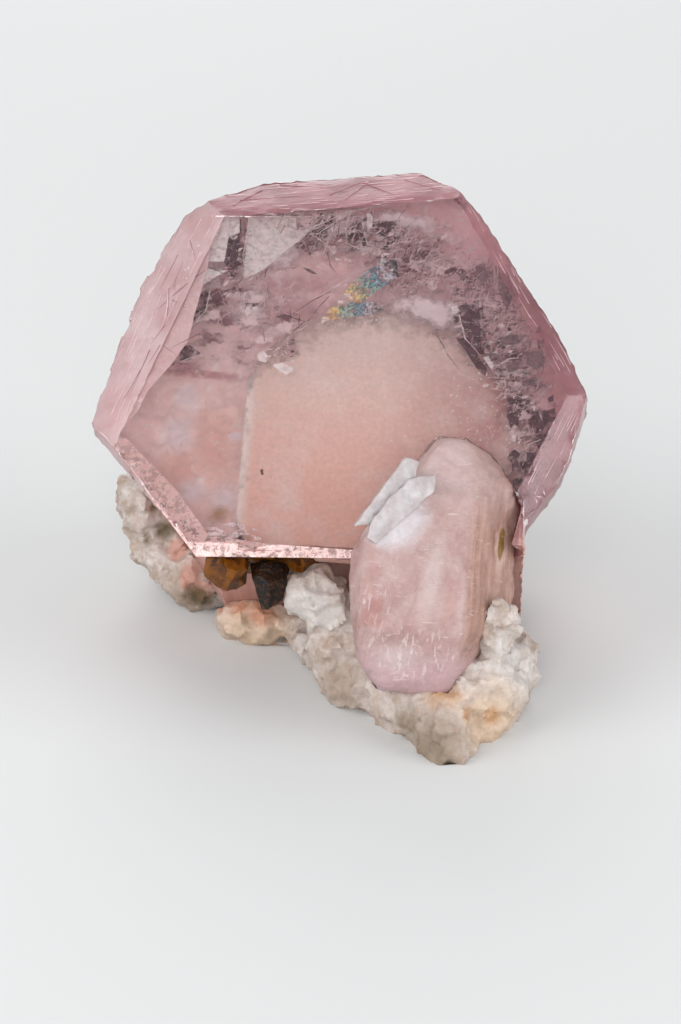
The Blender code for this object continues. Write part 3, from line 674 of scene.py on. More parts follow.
def inner_haze_material():
    """Haze inside the beryl: even pink mist with soft blooms and bruises, crossed by healed cracks
    that show as thin white wisps 3 to 6 mm apart."""
    material, tree, shader = new_material("hazy_morganite", {
        "Roughness": 0.65, "IOR": 1.3, "Specular IOR Level": 0.3})
    spot = place_in(tree, BASAL)
    wobble = node(tree, "TexNoise", {"Vector": spot, "Scale": 0.3, "Detail": 6.0, "Roughness": 0.65})
    rim = node(tree, "Math", {0: wobble, 1: 1.6, 2: -0.8}, operation="MULTIPLY_ADD")
    mottle = node(tree, "TexNoise", {"Vector": spot, "Scale": 0.5, "Detail": 8.0, "Roughness": 0.72,
                                     "Distortion": 1.0})
    across = node(tree, "SeparateXYZ", {0: spot}, out="X")
    base = two_tone(tree, across, -14.0, 18.0, "FFE2E2", "FCD3D8")
    base = stained(tree, base, spot, HAZE_TINTS, rim)
    bent = node(tree, "TexNoise", {"Vector": spot, "Scale": 0.25, "Detail": 3.0}, out="Color")
    bent = node(tree, "VectorMath", {0: bent, 1: (7, 7, 7), 2: spot}, operation="MULTIPLY_ADD")
    cracks = node(tree, "TexVoronoi", {"Vector": bent, "Scale": 0.22}, out="Distance",
                  feature="DISTANCE_TO_EDGE")
    wisps = node(tree, "MapRange", {"Value": cracks, "From Min": 0.05, "From Max": 0.0})
    thick = node(tree, "MapRange", {"Value": mottle, "From Min": 0.45, "From Max": 0.65})
    wisps = node(tree, "Math", {0: wisps, 1: thick}, operation="MULTIPLY")
    base = node(tree, "Mix", {0: wisps, 6: base, 7: colour("FFFAFA")}, out=2, data_type="RGBA")
    base = grained(tree, base, mottle, 0.3, 0.7, 0.84, 1.1)
    tree.links.new(base, shader.inputs["Base Color"])
    bump = node(tree, "Bump", {"Strength": 0.8, "Distance": 0.8 * MM, "Height": mottle})
    tree.links.new(bump, shader.inputs["Normal"])
    return material


def fibrous_veil_material():
    """Felted inclusions: painted shade in their dark and grey zones, for the dark surroundings seen
    through the crystal, crossed by pale fibres 0.6 to 0.9 mm apart, and splintered into shards 1 to 3 mm
    long, painted dull or bright as painted shade and glints."""
    material, tree, shader = new_material("fibrous_veil", {
        "Roughness": 0.55, "IOR": 1.3, "Specular IOR Level": 0.3})
    spot = place_in(tree, BASAL)
    wobble = node(tree, "TexNoise", {"Vector": spot, "Scale": 0.45, "Detail": 7.0, "Roughness": 0.72})
    rim = node(tree, "Math", {0: wobble, 1: 3.4, 2: -1.7}, operation="MULTIPLY_ADD")
    bent = node(tree, "TexNoise", {"Vector": spot, "Scale": 1.0, "Detail": 3.0}, out="Color")
    bent = node(tree, "VectorMath", {0: bent, 1: (1.5, 1.5, 1.5), 2: spot}, operation="MULTIPLY_ADD")
    fibres = None
    for turn, spacing in ((50, 0.75), (-40, 0.6), (8, 0.9)):
        along = node(tree, "Mapping", {"Vector": bent, "Rotation": (0, 0, radians(turn)),
                                       "Scale": (0.3 / spacing, 1 / spacing, 0)})
        edge = node(tree, "TexVoronoi", {"Vector": along, "Scale": 1.0}, out="Distance",
                    feature="DISTANCE_TO_EDGE")
        line = node(tree, "MapRange", {"Value": edge, "From Min": 0.13, "From Max": 0.03})
        fibres = line if fibres is None else node(tree, "Math", {0: fibres, 1: line},
                                                  operation="MAXIMUM")
    # Painted shade: dark and grey zones for the dark surroundings seen through the crystal
    dark = patches(tree, spot, DARK_SHADE_ZONES, rim)
    grey = patches(tree, spot, GREY_SHADE_ZONES, rim)
    brown = patches(tree, spot, BROWN_DEPTHS, rim)
    deep = node(tree, "Mix", {0: grey, 6: colour("4E2A34"), 7: colour("5E444A")}, out=2,
                data_type="RGBA")
    deep = node(tree, "Mix", {0: brown, 6: deep, 7: colour("8A5040")}, out=2, data_type="RGBA")
    base = laid_over(tree, deep, fibres, 0.0, 1.0, 0.8, "EEC4CB")
    area = node(tree, "Math", {0: dark, 1: grey}, operation="MAXIMUM")
    area = node(tree, "Math", {0: area, 1: brown}, operation="MAXIMUM")
    broken = node(tree, "TexNoise", {"Vector": spot, "Scale": 0.62, "Detail": 9.0, "Roughness": 0.78,
                                     "Distortion": 1.2})
    broken = node(tree, "MapRange", {"Value": broken, "From Min": 0.45, "From Max": 0.52})
    cover = node(tree, "Math", {0: area, 1: broken}, operation="MULTIPLY")
    leaning = node(tree, "Mapping", {"Vector": bent, "Rotation": (0, 0, radians(35)),
                                     "Scale": (0.34, 0.85, 0)})
    cells = node(tree, "TexVoronoi", {"Vector": leaning, "Scale": 1.0}, out="Color")
    pick, shade = (node(tree, "SeparateXYZ", {0: cells}, out=axis) for axis in "XY")
    picked = node(tree, "MapRange", {"Value": pick, "From Min": 0.5, "From Max": 0.62,
                                     "To Max": 0.85})
    shards = node(tree, "Math", {0: patches(tree, spot, SHARD_ZONES, rim), 1: picked},
                  operation="MULTIPLY")
    # Painted glints and shade: each shard cell is painted bright or dark at random
    glint = two_tone(tree, shade, 0.45, 0.6, "6A3C48", "FFEDEE")
    base = node(tree, "Mix", {0: shards, 6: base, 7: glint}, out=2, data_type="RGBA")
    glow = node(tree, "Math", {0: patches(tree, spot, GLOW_ZONES, rim), 1: 0.85}, operation="MULTIPLY")
    base = node(tree, "Mix", {0: glow, 6: base, 7: colour("FFF2F6")}, out=2, data_type="RGBA")
    tree.links.new(base, shader.inputs["Base Color"])
    cover = node(tree, "Math", {0: cover, 1: shards}, operation="MAXIMUM")
    cover = node(tree, "Math", {0: cover, 1: glow}, operation="MAXIMUM")
    tree.links.new(cover, shader.inputs["Alpha"])
    return material


def film_material(name, light, dark, low, high):
    """An opened fracture: a thin film of air that mirrors pale light, or, painted dark, stands as painted
    shade for the dark surroundings seen through it.
    It hides 'low' to 'high' of what is behind it, in shreds about 1 mm wide."""
    material, tree, shader = new_material(name, {"Roughness": 0.35, "IOR": 1.5})
    spot = place_in(tree, BASAL)
    fine = node(tree, "TexNoise", {"Vector": spot, "Scale": 1.3, "Detail": 6.0, "Roughness": 0.7,
                                   "Distortion": 0.6})
    tree.links.new(two_tone(tree, fine, 0.35, 0.65, dark, light), shader.inputs["Base Color"])
    cover = node(tree, "TexNoise", {"Vector": spot, "Scale": 1.0, "Detail": 6.0, "Roughness": 0.75,
                                    "Distortion": 0.4})
    cover = node(tree, "MapRange", {"Value": cover, "From Min": 0.43, "From Max": 0.52,
                                    "To Min": low, "To Max": high})
    tree.links.new(cover, shader.inputs["Alpha"])
    return material


def milky_heart_material():
    """The milky core: beryl full of fine fluid tubes, beige above, salmon below, and darker rosy mauve on
    the right, which is painted shade.
    """
    material, tree, shader = new_material("milky_morganite", {
        "Roughness": 0.65, "IOR": 1.3, "Specular IOR Level": 0.2})
    spot = place_in(tree, BASAL)
    wobble = node(tree, "TexNoise", {"Vector": spot, "Scale": 0.55, "Detail": 8.0, "Roughness": 0.75})
    rim = node(tree, "Math", {0: wobble, 1: 0.5, 2: -0.25}, operation="MULTIPLY_ADD")
    across, height = (node(tree, "SeparateXYZ", {0: spot}, out=axis) for axis in "XY")
    cloud = node(tree, "TexNoise", {"Vector": spot, "Scale": 0.16, "Detail": 5.0, "Roughness": 0.6})
    grain = node(tree, "TexNoise", {"Vector": spot, "Scale": 1.6, "Detail": 6.0, "Roughness": 0.75})
    base = two_tone(tree, height, -22.0, 8.0, "F7C6B6", "F3DFD8")
    # Painted shade: a rosy mauve laid over towards the right side
    base = laid_over(tree, base, across, 6.0, 25.0, 0.85, "C48F8E")
    base = laid_over(tree, base, cloud, 0.45, 0.7, 0.6, "F9E9E4")
    level = node(tree, "VectorMath", {0: spot, 1: (0.5, 2.2, 1.0)}, operation="MULTIPLY")
    etched = node(tree, "TexNoise", {"Vector": level, "Scale": 1.0, "Detail": 6.0, "Roughness": 0.7,
                                     "Distortion": 1.0})
    base = laid_over(tree, base, etched, 0.6, 0.7, 0.7, "FFF4F0")
    base = laid_over(tree, base, across, -11.6, -13.0, 0.8, "FFF8F2")
    base = grained(tree, base, grain, 0.3, 0.7, 0.84, 1.05)
    tree.links.new(base, shader.inputs["Base Color"])
    tree.links.new(patches(tree, spot, HEART_PLACES, rim), shader.inputs["Alpha"])
    return material


def frosted_material():
    """Beryl with an etched, frosted skin: pale pink in front, tan on the right with lengthwise striae,
    mauve at its foot, whitish where it is bruised."""
    material, tree, shader = new_material("frosted_morganite", {
        "Roughness": 0.34, "IOR": BERYL_IOR, "Subsurface Weight": 0.2, "Subsurface Scale": 2 * MM,
        "Subsurface Radius": (1.0, 0.6, 0.5)})
    spot = place_in(tree, SIDE_FACE)
    across, height = (node(tree, "SeparateXYZ", {0: spot}, out=axis) for axis in "XY")
    cloud = node(tree, "TexNoise", {"Vector": spot, "Scale": 0.22, "Detail": 7.0, "Roughness": 0.68})
    rim = node(tree, "Math", {0: cloud, 1: 1.8, 2: -0.9}, operation="MULTIPLY_ADD")
    fine = node(tree, "TexNoise", {"Vector": spot, "Scale": 1.4, "Detail": 7.0, "Roughness": 0.75})
    upright = node(tree, "VectorMath", {0: spot, 1: (1.5, 0.12, 1.5)}, operation="MULTIPLY")
    striae = node(tree, "TexNoise", {"Vector": upright, "Scale": 1.0, "Detail": 4.0,
                                     "Roughness": 0.65})
    base = two_tone(tree, cloud, 0.38, 0.64, "A37E7A", "B59A96")
    tan = two_tone(tree, striae, 0.35, 0.65, "8E6456", "B18B7D")
    # Tan on the right face, fading towards its top and its foot
    tan_share = node(tree, "MapRange", {"Value": across, "From Min": 6.2, "From Max": 7.4})
    for low, high in ((13.0, 8.5), (-11.0, -5.0)):
        fading = node(tree, "MapRange", {"Value": height, "From Min": low, "From Max": high,
                                         "To Min": 0.3})
        tan_share = node(tree, "Math", {0: tan_share, 1: fading}, operation="MULTIPLY")
    base = node(tree, "Mix", {0: tan_share, 6: base, 7: tan}, out=2, data_type="RGBA")
    base = laid_over(tree, base, height, -7.0, -12.0, 0.7, "B6959A")
    base = stained(tree, base, spot, SIDE_TINTS, rim)
    leaning = node(tree, "Mapping", {"Vector": spot, "Rotation": (0, 0, radians(-62)),
                                     "Scale": (0.5, 2.4, 1.0)})
    wisps = node(tree, "TexNoise", {"Vector": leaning, "Scale": 1.0, "Detail": 5.0, "Roughness": 0.7,
                                    "Distortion": 0.8})
    base = laid_over(tree, base, wisps, 0.6, 0.72, 0.6, "DCCFCE")
    steep = node(tree, "Mapping", {"Vector": spot, "Rotation": (0, 0, radians(-14)),
                                   "Scale": (1.9, 0.45, 1.0)})
    flecks = node(tree, "TexNoise", {"Vector": steep, "Scale": 1.0, "Detail": 3.0, "Roughness": 0.55,
                                     "Distortion": 0.5})
    flecks = node(tree, "MapRange", {"Value": flecks, "From Min": 0.56, "From Max": 0.66,
                                     "To Max": 0.45})
    base = stained(tree, base, spot, [("DDD2D2", flecks, FLECK_PLACES)], rim)
    base = grained(tree, base, fine, 0.3, 0.7, 0.88, 1.1)
    tree.links.new(base, shader.inputs["Base Color"])
    relief = node(tree, "Math", {0: cloud, 1: 1.5, 2: fine}, operation="MULTIPLY_ADD")
    bump = node(tree, "Bump", {"Strength": 0.5, "Distance": 0.4 * MM, "Height": relief})
    tree.links.new(bump, shader.inputs["Normal"])
    return material


def albite_material():
    """Albite: white, sugary and half translucent, grey to tan in patches, tan and olive with iron, with
    painted shade in the low spots of its fine relief.
    """
    material, tree, shader = new_material("albite", {
        "Roughness": 0.42, "IOR": ALBITE_IOR, "Subsurface Weight": 0.15, "Subsurface Scale": 1.5 * MM,
        "Subsurface Radius": (1.0, 0.85, 0.75)})
    spot = place_in(tree, WORLD)
    cloud = node(tree, "TexNoise", {"Vector": spot, "Scale": 0.3, "Detail": 7.0, "Roughness": 0.7})
    fine = node(tree, "TexNoise", {"Vector": spot, "Scale": 1.3, "Detail": 7.0, "Roughness": 0.75})
    rim = node(tree, "Math", {0: cloud, 1: 2.4, 2: -1.2}, operation="MULTIPLY_ADD")
    base = two_tone(tree, cloud, 0.4, 0.62, "C6BAB4", "A89282")
    base = stained(tree, base, spot, ROCK_TINTS, rim, shape=lumps)
    base = grained(tree, base, fine, 0.32, 0.68, 0.8, 1.1)
    # Painted shade: dark brown in the low spots of the fine pattern that also raises the bump
    base = laid_over(tree, base, fine, 0.33, 0.28, 1.0, "6E5638")
    tree.links.new(base, shader.inputs["Base Color"])
    bump = node(tree, "Bump", {"Strength": 0.4, "Distance": 0.35 * MM, "Height": fine})
    tree.links.new(bump, shader.inputs["Normal"])
    return material


def blade_material():
    """Thin albite blades: greyish white and half clear, with a slightly uneven skin."""
    material, tree, shader = new_material("albite_blade", {
        "Roughness": 0.3, "IOR": ALBITE_IOR, "Subsurface Weight": 0.2, "Subsurface Scale": MM})
    spot = place_in(tree, SIDE_FACE)
    cloud = node(tree, "TexNoise", {"Vector": spot, "Scale": 0.5, "Detail": 6.0, "Roughness": 0.7})
    tree.links.new(two_tone(tree, cloud, 0.38, 0.62, "A69A9B", "BBB5B6"), shader.inputs["Base Color"])
    bump = node(tree, "Bump", {"Strength": 0.5, "Distance": 0.3 * MM, "Height": cloud})
    tree.links.new(bump, shader.inputs["Normal"])
    return material


def smoky_material():
    """Smoky quartz: nearly black brown glass with lengthwise striae 0.5 mm apart."""
    material, tree, shader = new_material("smoky_quartz", {
        "Roughness": 0.32, "IOR": QUARTZ_IOR, "Specular IOR Level": 0.3})
    spot = place_in(tree, BASAL)
    along = node(tree, "VectorMath", {0: spot, 1: (2.2, 2.2, 0.25)}, operation="MULTIPLY")
    striae = node(tree, "TexNoise", {"Vector": along, "Scale": 1.0, "Detail": 4.0, "Roughness": 0.6})
    tree.links.new(two_tone(tree, striae, 0.48, 0.66, "0C0502", "4A2A10"), shader.inputs["Base Color"])
    bump = node(tree, "Bump", {"Strength": 0.7, "Distance": 0.3 * MM, "Height": striae})
    tree.links.new(bump, shader.inputs["Normal"])
    return material


def brown_material():
    """Iron-stained quartz: amber brown, greasy to glassy, broken into small facets."""
    material, tree, shader = new_material("brown_quartz", {
        "Roughness": 0.3, "IOR": QUARTZ_IOR, "Specular IOR Level": 0.3})
    spot = place_in(tree, WORLD)
    facets = node(tree, "TexVoronoi", {"Vector": spot, "Scale": 0.8}, out="Color")
    cloud = node(tree, "TexNoise", {"Vector": spot, "Scale": 0.7, "Detail": 6.0, "Roughness": 0.7})
    shade = node(tree, "SeparateXYZ", {0: facets}, out="X")
    pick = node(tree, "Math", {0: shade, 1: 0.5, 2: cloud}, operation="MULTIPLY_ADD")
    tree.links.new(two_tone(tree, pick, 0.45, 1.0, "2C1402", "844C08"), shader.inputs["Base Color"])
    bump = node(tree, "Bump", {"Strength": 0.6, "Distance": 0.4 * MM, "Height": pick})
    tree.links.new(bump, shader.inputs["Normal"])
    return material


def rainbow_material(name, middle, turn, length):
    """Interference colours of a very thin crack: bands that run with its width, broken by dark."""
    material, tree, shader = new_material(name, {"Roughness": 0.3, "IOR": 1.5})
    spot = place_in(tree, BASAL)
    along = node(tree, "Mapping", {"Vector": spot, "Location": (*middle, 0),
                                   "Rotation": (0, 0, radians(turn))}, vector_type="TEXTURE")
    grain = node(tree, "TexNoise", {"Vector": spot, "Scale": 1.6, "Detail": 5.0, "Roughness": 0.7})
    across = node(tree, "SeparateXYZ", {0: along}, out="X")
    bent = node(tree, "Math", {0: grain, 1: length * 0.9, 2: across}, operation="MULTIPLY_ADD")
    run = node(tree, "MapRange", {"Value": bent, "From Min": -0.05 * length,
                                  "From Max": 0.95 * length})
    bands = node(tree, "ValToRGB", {"Fac": run})
    ramp = bands.node.color_ramp
    stops = ((0.0, "FFF6EE"), (0.12, "D08A3A"), (0.22, "FFF3B8"), (0.32, "2E2620"), (0.42, "D2F2E4"),
             (0.52, "16232C"), (0.62, "9CCBDA"), (0.72, "20264A"), (0.86, "F2ECF4"), (1.0, "3A3640"))
    for position, code in stops[1:-1]:
        ramp.elements.new(position)
    for element, (position, code) in zip(ramp.elements, stops):
        element.position = position
        element.color = colour(code)
    tree.links.new(bands, shader.inputs["Base Color"])
    holes = node(tree, "TexNoise", {"Vector": spot, "Scale": 1.1, "Detail": 6.0, "Roughness": 0.75})
    cover = node(tree, "MapRange", {"Value": holes, "From Min": 0.42, "From Max": 0.5})
    tree.links.new(cover, shader.inputs["Alpha"])
    return material


# --- pieces ------------------------------------------------------------------------

def edit_sharp_edges(obj, sharpness):
    """Opens the mesh in edit mode with only its sharp edges selected."""
    edit(obj)
    bpy.ops.mesh.select_mode(type="EDGE")
    bpy.ops.mesh.select_all(action="DESELECT")
    bpy.ops.mesh.edges_select_sharp(sharpness=radians(sharpness))


def soften_edges(obj, width, segments=2):
    """Takes a narrow bevel off the sharp edges, where natural crystals are a little worn."""
    edit_sharp_edges(obj, 12)
    bpy.ops.mesh.bevel(offset=width * MM, segments=segments, clamp_overlap=True)
    done()


def outward(azimuth, polar=90):
    """The direction in the main crystal's frame at these two angles, in degrees."""
    a = radians(azimuth)
    p = radians(polar)
    return Vector((cos(a) * sin(p), sin(a) * sin(p), cos(p)))


def mark_faces(obj):
    """Writes to each face of the main crystal the frost and tone of the crystal face it belongs to.
    What lies past the plate's faces is stem, and what lies well inside them is in a broken corner."""
    inverse = BASAL.inverted()
    normals = np.array([outward(azimuth, polar) for azimuth, polar, *_ in FACE_SKINS])
    _, _, distances, frosts, tones = np.array(FACE_SKINS).T
    centres = np.array([inverse @ face.center for face in obj.data.polygons]) / MM
    gaps = centres @ normals.T - distances
    nearest = gaps.argmax(axis=1)
    furthest = gaps.max(axis=1)
    broken = furthest < -BROKEN_DEPTH
    frost = np.where(broken, BROKEN_FROST, frosts[nearest])
    tone = np.where(broken, BROKEN_TONE, tones[nearest])
    stem = np.clip((furthest - STEM_START) / STEM_FADE, 0.0, 1.0)
    frost += (STEM_FROST - frost) * stem
    tone += (STEM_TONE - tone) * stem
    for name, values in (("frost", frost), ("tone", tone)):
        layer = obj.data.attributes.new(name, "FLOAT", "FACE")
        layer.data.foreach_set("value", values.astype(np.float32))


def sharp_runs(obj):
    """The end points of the sharp edges, as two arrays."""
    edit_sharp_edges(obj, 14)
    done()
    points = obj.data.vertices
    runs = [e.vertices for e in obj.data.edges if e.select]
    return (np.array([points[a].co for a, b in runs]), np.array([points[b].co for a, b in runs]))


def weigh_near_runs(obj, starts, ends, reach):
    """A vertex group that is 1 on the runs and fades to 0 at 'reach' mm from them."""
    points = np.array([v.co for v in obj.data.vertices])
    nearest = np.full(len(points), np.inf)
    for start, end in zip(starts, ends):
        along = end - start
        t = np.clip((points - start) @ along / max(along @ along, 1e-12), 0, 1)
        gap = np.linalg.norm(points - start - t[:, None] * along, axis=1)
        nearest = np.minimum(nearest, gap)
    weights = np.clip(1 - nearest / (reach * MM), 0, 1)
    group = obj.vertex_groups.new(name="edges")
    for index in np.nonzero(weights)[0]:
        group.add([int(index)], float(weights[index]), "REPLACE")


def make_clear_crystal():
    """The glassy skin, cut to small cells, with its edges etched ragged."""
    obj = copy_of_solid("clear_morganite", "main_crystal")
    starts, ends = sharp_runs(obj)
    soften_edges(obj, 0.2)
    cut_to_cells(obj, BASAL, 0.8, (-38, -32, -62), (38, 40, 2))
    mark_faces(obj)
    weigh_near_runs(obj, starts, ends, 1.5)
    roughen(obj, "VORONOI", 1.3, 0.55, group="edges", middle=0.85)
    roughen(obj, "CLOUDS", 6.0, 0.16)
    smooth(obj, 20)
    return finish_piece(obj, clear_morganite_material(), "morganite", "main_crystal")


def make_inner_haze():
    """The haze inside the crystal: 1 mm under its skin, and 5 mm behind the basal face."""
    obj = copy_of_solid("inner_haze", "main_crystal")
    edit(obj)
    bisect(BASAL @ Vector((0, 0, -HAZE_DEPTH * MM)), BASAL.col[2].to_3d(), trim=True, cap=True)
    done()
    reshape(obj, even_mesh(0.8), swell(-1.0), ("SMOOTH", {"iterations": 2}))
    roughen(obj, "CLOUDS", 5.0, 0.8)
    smooth(obj)
    return finish_piece(obj, inner_haze_material(), "morganite")


def trim_to_prism(inset, cap=False):
    """Cuts the mesh in edit mode to the main crystal's outline, 'inset' mm inside it."""
    for azimuth, distance in PRISM_FACES:
        side = BASAL.to_3x3() @ outward(azimuth)
        bisect(BASAL_CENTRE + side * (distance - inset) * MM, side, trim=True, cap=cap)


def make_fibrous_veil():
    """A crumpled sheet inside the crystal, level with the basal face and nearly as wide as the prism."""
    bpy.ops.object.select_all(action="DESELECT")
    bpy.ops.mesh.primitive_grid_add(x_subdivisions=140, y_subdivisions=140, size=84 * MM)
    obj = bpy.context.object
    obj.name = "fibrous_veil"
    obj.matrix_world = BASAL @ Matrix.Translation((0, 0, -VEIL_DEPTH * MM))
    apply_place(obj)
    edit(obj)
    trim_to_prism(inset=3.5)
    done()
    roughen(obj, "CLOUDS", 5.0, 1.2)
    return finish_piece(obj, fibrous_veil_material(), "morganite")


def make_films(name, outlines, material):
    """Flat films of opened fractures, each drawn as an outline behind the basal face."""
    bpy.ops.object.select_all(action="DESELECT")
    films = []
    for depth, outline in outlines:
        bpy.ops.mesh.primitive_circle_add(vertices=len(outline), radius=MM, fill_type="NGON")
        film = bpy.context.object
        for vertex, (x, y) in zip(film.data.vertices, outline):
            vertex.co = BASAL @ (Vector((x, y, 0.03 * (x - y) - depth)) * MM)
        films.append(film)
    return finish_piece(joined(name, films), material, "morganite")


def behind_face(lines):
    """Runs given as a depth behind the basal face and flat points, as points in 3-D."""
    return [[(x, y, -depth) for x, y in points] for depth, points in lines]


def make_crack_lines(name, lines, width, material):
    """Hair cracks: fine tapered threads along their measured runs in the crystal's frame, mm."""
    curve = bpy.data.curves.new(name, "CURVE")
    curve.dimensions = "3D"
    curve.bevel_depth = width / 2 * MM
    curve.bevel_resolution = 0
    for points in lines:
        spline = curve.splines.new("POLY")
        spline.points.add(len(points) - 1)
        for point, place in zip(spline.points, points):
            point.co = (*(BASAL @ (Vector(place) * MM)), 1)
        spline.points[-1].radius = 0.3
    obj = bpy.data.objects.new(name, curve)
    bpy.context.scene.collection.objects.link(obj)
    only(obj)
    bpy.ops.object.convert(target="MESH")
    return finish_piece(obj, material, "morganite")


def spot_in(zone, dice):
    """A random place inside a zone (x, y, radius x, radius y, turn) on the basal face, mm."""
    x, y, rx, ry, turn = zone
    reach = dice.random() ** 0.5
    swing = dice.uniform(0, 2 * pi)
    t = radians(turn)
    dx = rx * reach * cos(swing)
    dy = ry * reach * sin(swing)
    return x + dx * cos(t) - dy * sin(t), y + dx * sin(t) + dy * cos(t)


def make_scattered_films(name, zones, material, seed):
    """Small splintered fractures: zone, how many, size in mm, run direction, depths."""
    dice = random.Random(seed)
    bpy.ops.object.select_all(action="DESELECT")
    bpy.ops.mesh.primitive_circle_add(vertices=6, radius=MM, fill_type="NGON")
    first = bpy.context.object
    films = []
    for zone, count, size, run, depths in zones:
        for _ in range(count):
            film = first.copy()
            film.data = first.data.copy()
            bpy.context.scene.collection.objects.link(film)
            x, y = spot_in(zone, dice)
            length = size * dice.uniform(0.5, 1.6)
            width = length * dice.uniform(0.18, 0.6)
            for vertex in film.data.vertices:
                vertex.co *= dice.uniform(0.55, 1.3)
            place = Matrix.Translation(Vector((x, y, -dice.uniform(*depths))) * MM)
            turn = Matrix.Rotation(radians(run + dice.gauss(0, 25)), 4, "Z")
            tilt = Matrix.Rotation(radians(dice.uniform(-32, 32)), 4, "X")
            shape = Matrix.Diagonal((length / 2, width / 2, 1, 1))
            film.data.transform(BASAL @ place @ turn @ tilt @ shape)
            films.append(film)
    bpy.data.objects.remove(first)
    return finish_piece(joined(name, films), material, "morganite")


def make_fibres(name, zones, width, material, seed, share):
    """Felted hair-fine fibres, criss-crossed in zones behind the basal face."""
    dice = random.Random(seed)
    lines = []
    for zone, count, size, run, depths in zones:
        for _ in range(int(count * share)):
            x, y = spot_in(zone, dice)
            depth = dice.uniform(*depths)
            t = radians(run + dice.choice((-48, 0, 40)) + dice.gauss(0, 14))
            half = size * dice.uniform(0.3, 0.8)
            bow = dice.uniform(-0.15, 0.15) * half
            lift = dice.uniform(-0.3, 0.3)
            lines.append([(x - half * cos(t), y - half * sin(t), -depth - lift),
                          (x - bow * sin(t), y + bow * cos(t), -depth),
                          (x + half * cos(t), y + half * sin(t), -depth + lift)])
    return make_crack_lines(name, lines, width, material)


def make_rim_striae(name, count, width, material, seed):
    """Growth striae: short pale ridges that run level along the bevels of the main crystal, above
    the side crystal and clear of the neighbouring faces."""
    dice = random.Random(seed)
    walls = {(azimuth, 90): distance for azimuth, distance in PRISM_FACES}
    walls.update({(azimuth, polar): distance for azimuth, polar, distance in BEVELS})
    lines = []
    for azimuth, polar, distance in BEVELS:
        a = radians(azimuth)
        p = radians(polar)
        others = [(outward(*wall), limit) for wall, limit in walls.items() if wall != (azimuth, polar)]
        for _ in range(count):
            start = dice.uniform(-24, 24)
            end = start + dice.uniform(1.0, 5.0)
            depth = dice.uniform(0.3, 5.0)
            line = []
            for along, low in ((start, depth), (end, depth + dice.uniform(-0.15, 0.15))):
                reach = (distance + low * cos(p)) / sin(p)
                line.append(Vector((reach * cos(a) - along * sin(a), reach * sin(a) + along * cos(a),
                                    -low)))
            if all(point.y > -15 and point @ side < limit - 0.4 for point in line
                   for side, limit in others):
                lines.append(line)
    return make_crack_lines(name, lines, width, material)


def make_heart():
    """The milky core, flat on its left where it ends against a growth plane."""
    bpy.ops.object.select_all(action="DESELECT")
    bpy.ops.mesh.primitive_uv_sphere_add(segments=128, ring_count=64, radius=MM)
    obj = bpy.context.object
    obj.name = "milky_heart"
    obj.matrix_world = BASAL @ Matrix.Translation(HEART_CENTRE * MM) @ Matrix.Diagonal((*HEART_RADII, 1))
    apply_place(obj)
    edit(obj)
    left = -BASAL.col[0].to_3d()
    bisect(BASAL_CENTRE + left * HEART_LEFT * MM, left, trim=True, cap=True)
    trim_to_prism(inset=2.0, cap=True)
    done()
    return finish_piece(obj, milky_heart_material(), "morganite")


def make_side_crystal():
    """Rounded by etching, with a bruised and lumpy head."""
    obj = copy_of_solid("frosted_crystal", "side_crystal")
    reshape(obj, even_mesh(0.5), ("SMOOTH", {"factor": 0.5, "iterations": 10}), swell(0.35))
    roughen(obj, "CLOUDS", 4.5, 1.0)
    roughen(obj, "VORONOI", 2.4, 0.4)
    roughen(obj, "CLOUDS", 0.9, 0.16)
    smooth(obj)
    return finish_piece(obj, frosted_material(), "frosted_morganite", "side_crystal")


def make_matrix_rock():
    """Massive albite, broken into steps and knobs."""
    obj = copy_of_solid("albite_rock", "albite_matrix")
    reshape(obj, even_mesh(0.38), swell(0.3))
    roughen(obj, "CLOUDS", 4.5, 1.6)
    roughen(obj, "MUSGRAVE", 3.4, 0.6, musgrave_type="RIDGED_MULTIFRACTAL", middle=0.7)
    roughen(obj, "VORONOI", 0.9, 0.5)
    reshape(obj, ("DECIMATE", {"ratio": 0.7}))
    edit(obj)
    bisect((0, 0, 0), (0, 0, -1), trim=True, cap=True)
    done()
    smooth(obj, 40)
    return finish_piece(obj, albite_material(), "albite", "albite_matrix")


def make_blades():
    """Two flat blades with worn rims and faces a little uneven."""
    obj = copy_of_solid("albite_blade_pair", "albite_blades")
    soften_edges(obj, 0.35, segments=3)
    cut_to_cells(obj, SIDE_FACE, 0.5, (-10, 6, -2), (5, 19, 3))
    reshape(obj, swell(0.12))
    roughen(obj, "CLOUDS", 2.2, 0.5)
    roughen(obj, "VORONOI", 0.9, 0.3)
    smooth(obj, 30)
    return finish_piece(obj, blade_material(), "albite_blade", "albite_blades")


def make_quartz():
    """The hanging quartz: a dark crystal with a few more broken faces, and the brown crust beside it."""
    smoky = copy_of_solid("smoky_quartz_crystals", "smoky_quartz")
    brown = copy_of_solid("brown_quartz_crust", "brown_quartz")
    edit(smoky)
    for point, facing in QUARTZ_FACES:
        bisect(Vector(point) * MM, Vector(facing), trim=True, cap=True)
    done()
    for quartz in (smoky, brown):
        soften_edges(quartz, 0.15)
        cut_to_cells(quartz, WORLD, 0.5, (-20, -24, 12), (-2, -12, 23))
        roughen(quartz, "VORONOI", 1.6, 0.25)
        smooth(quartz, 25)
    finish_piece(smoky, smoky_material(), "smoky_quartz", "smoky_quartz")
    finish_piece(brown, brown_material(), "brown_quartz", "brown_quartz")


# --- room --------------------------------------------------------------------------

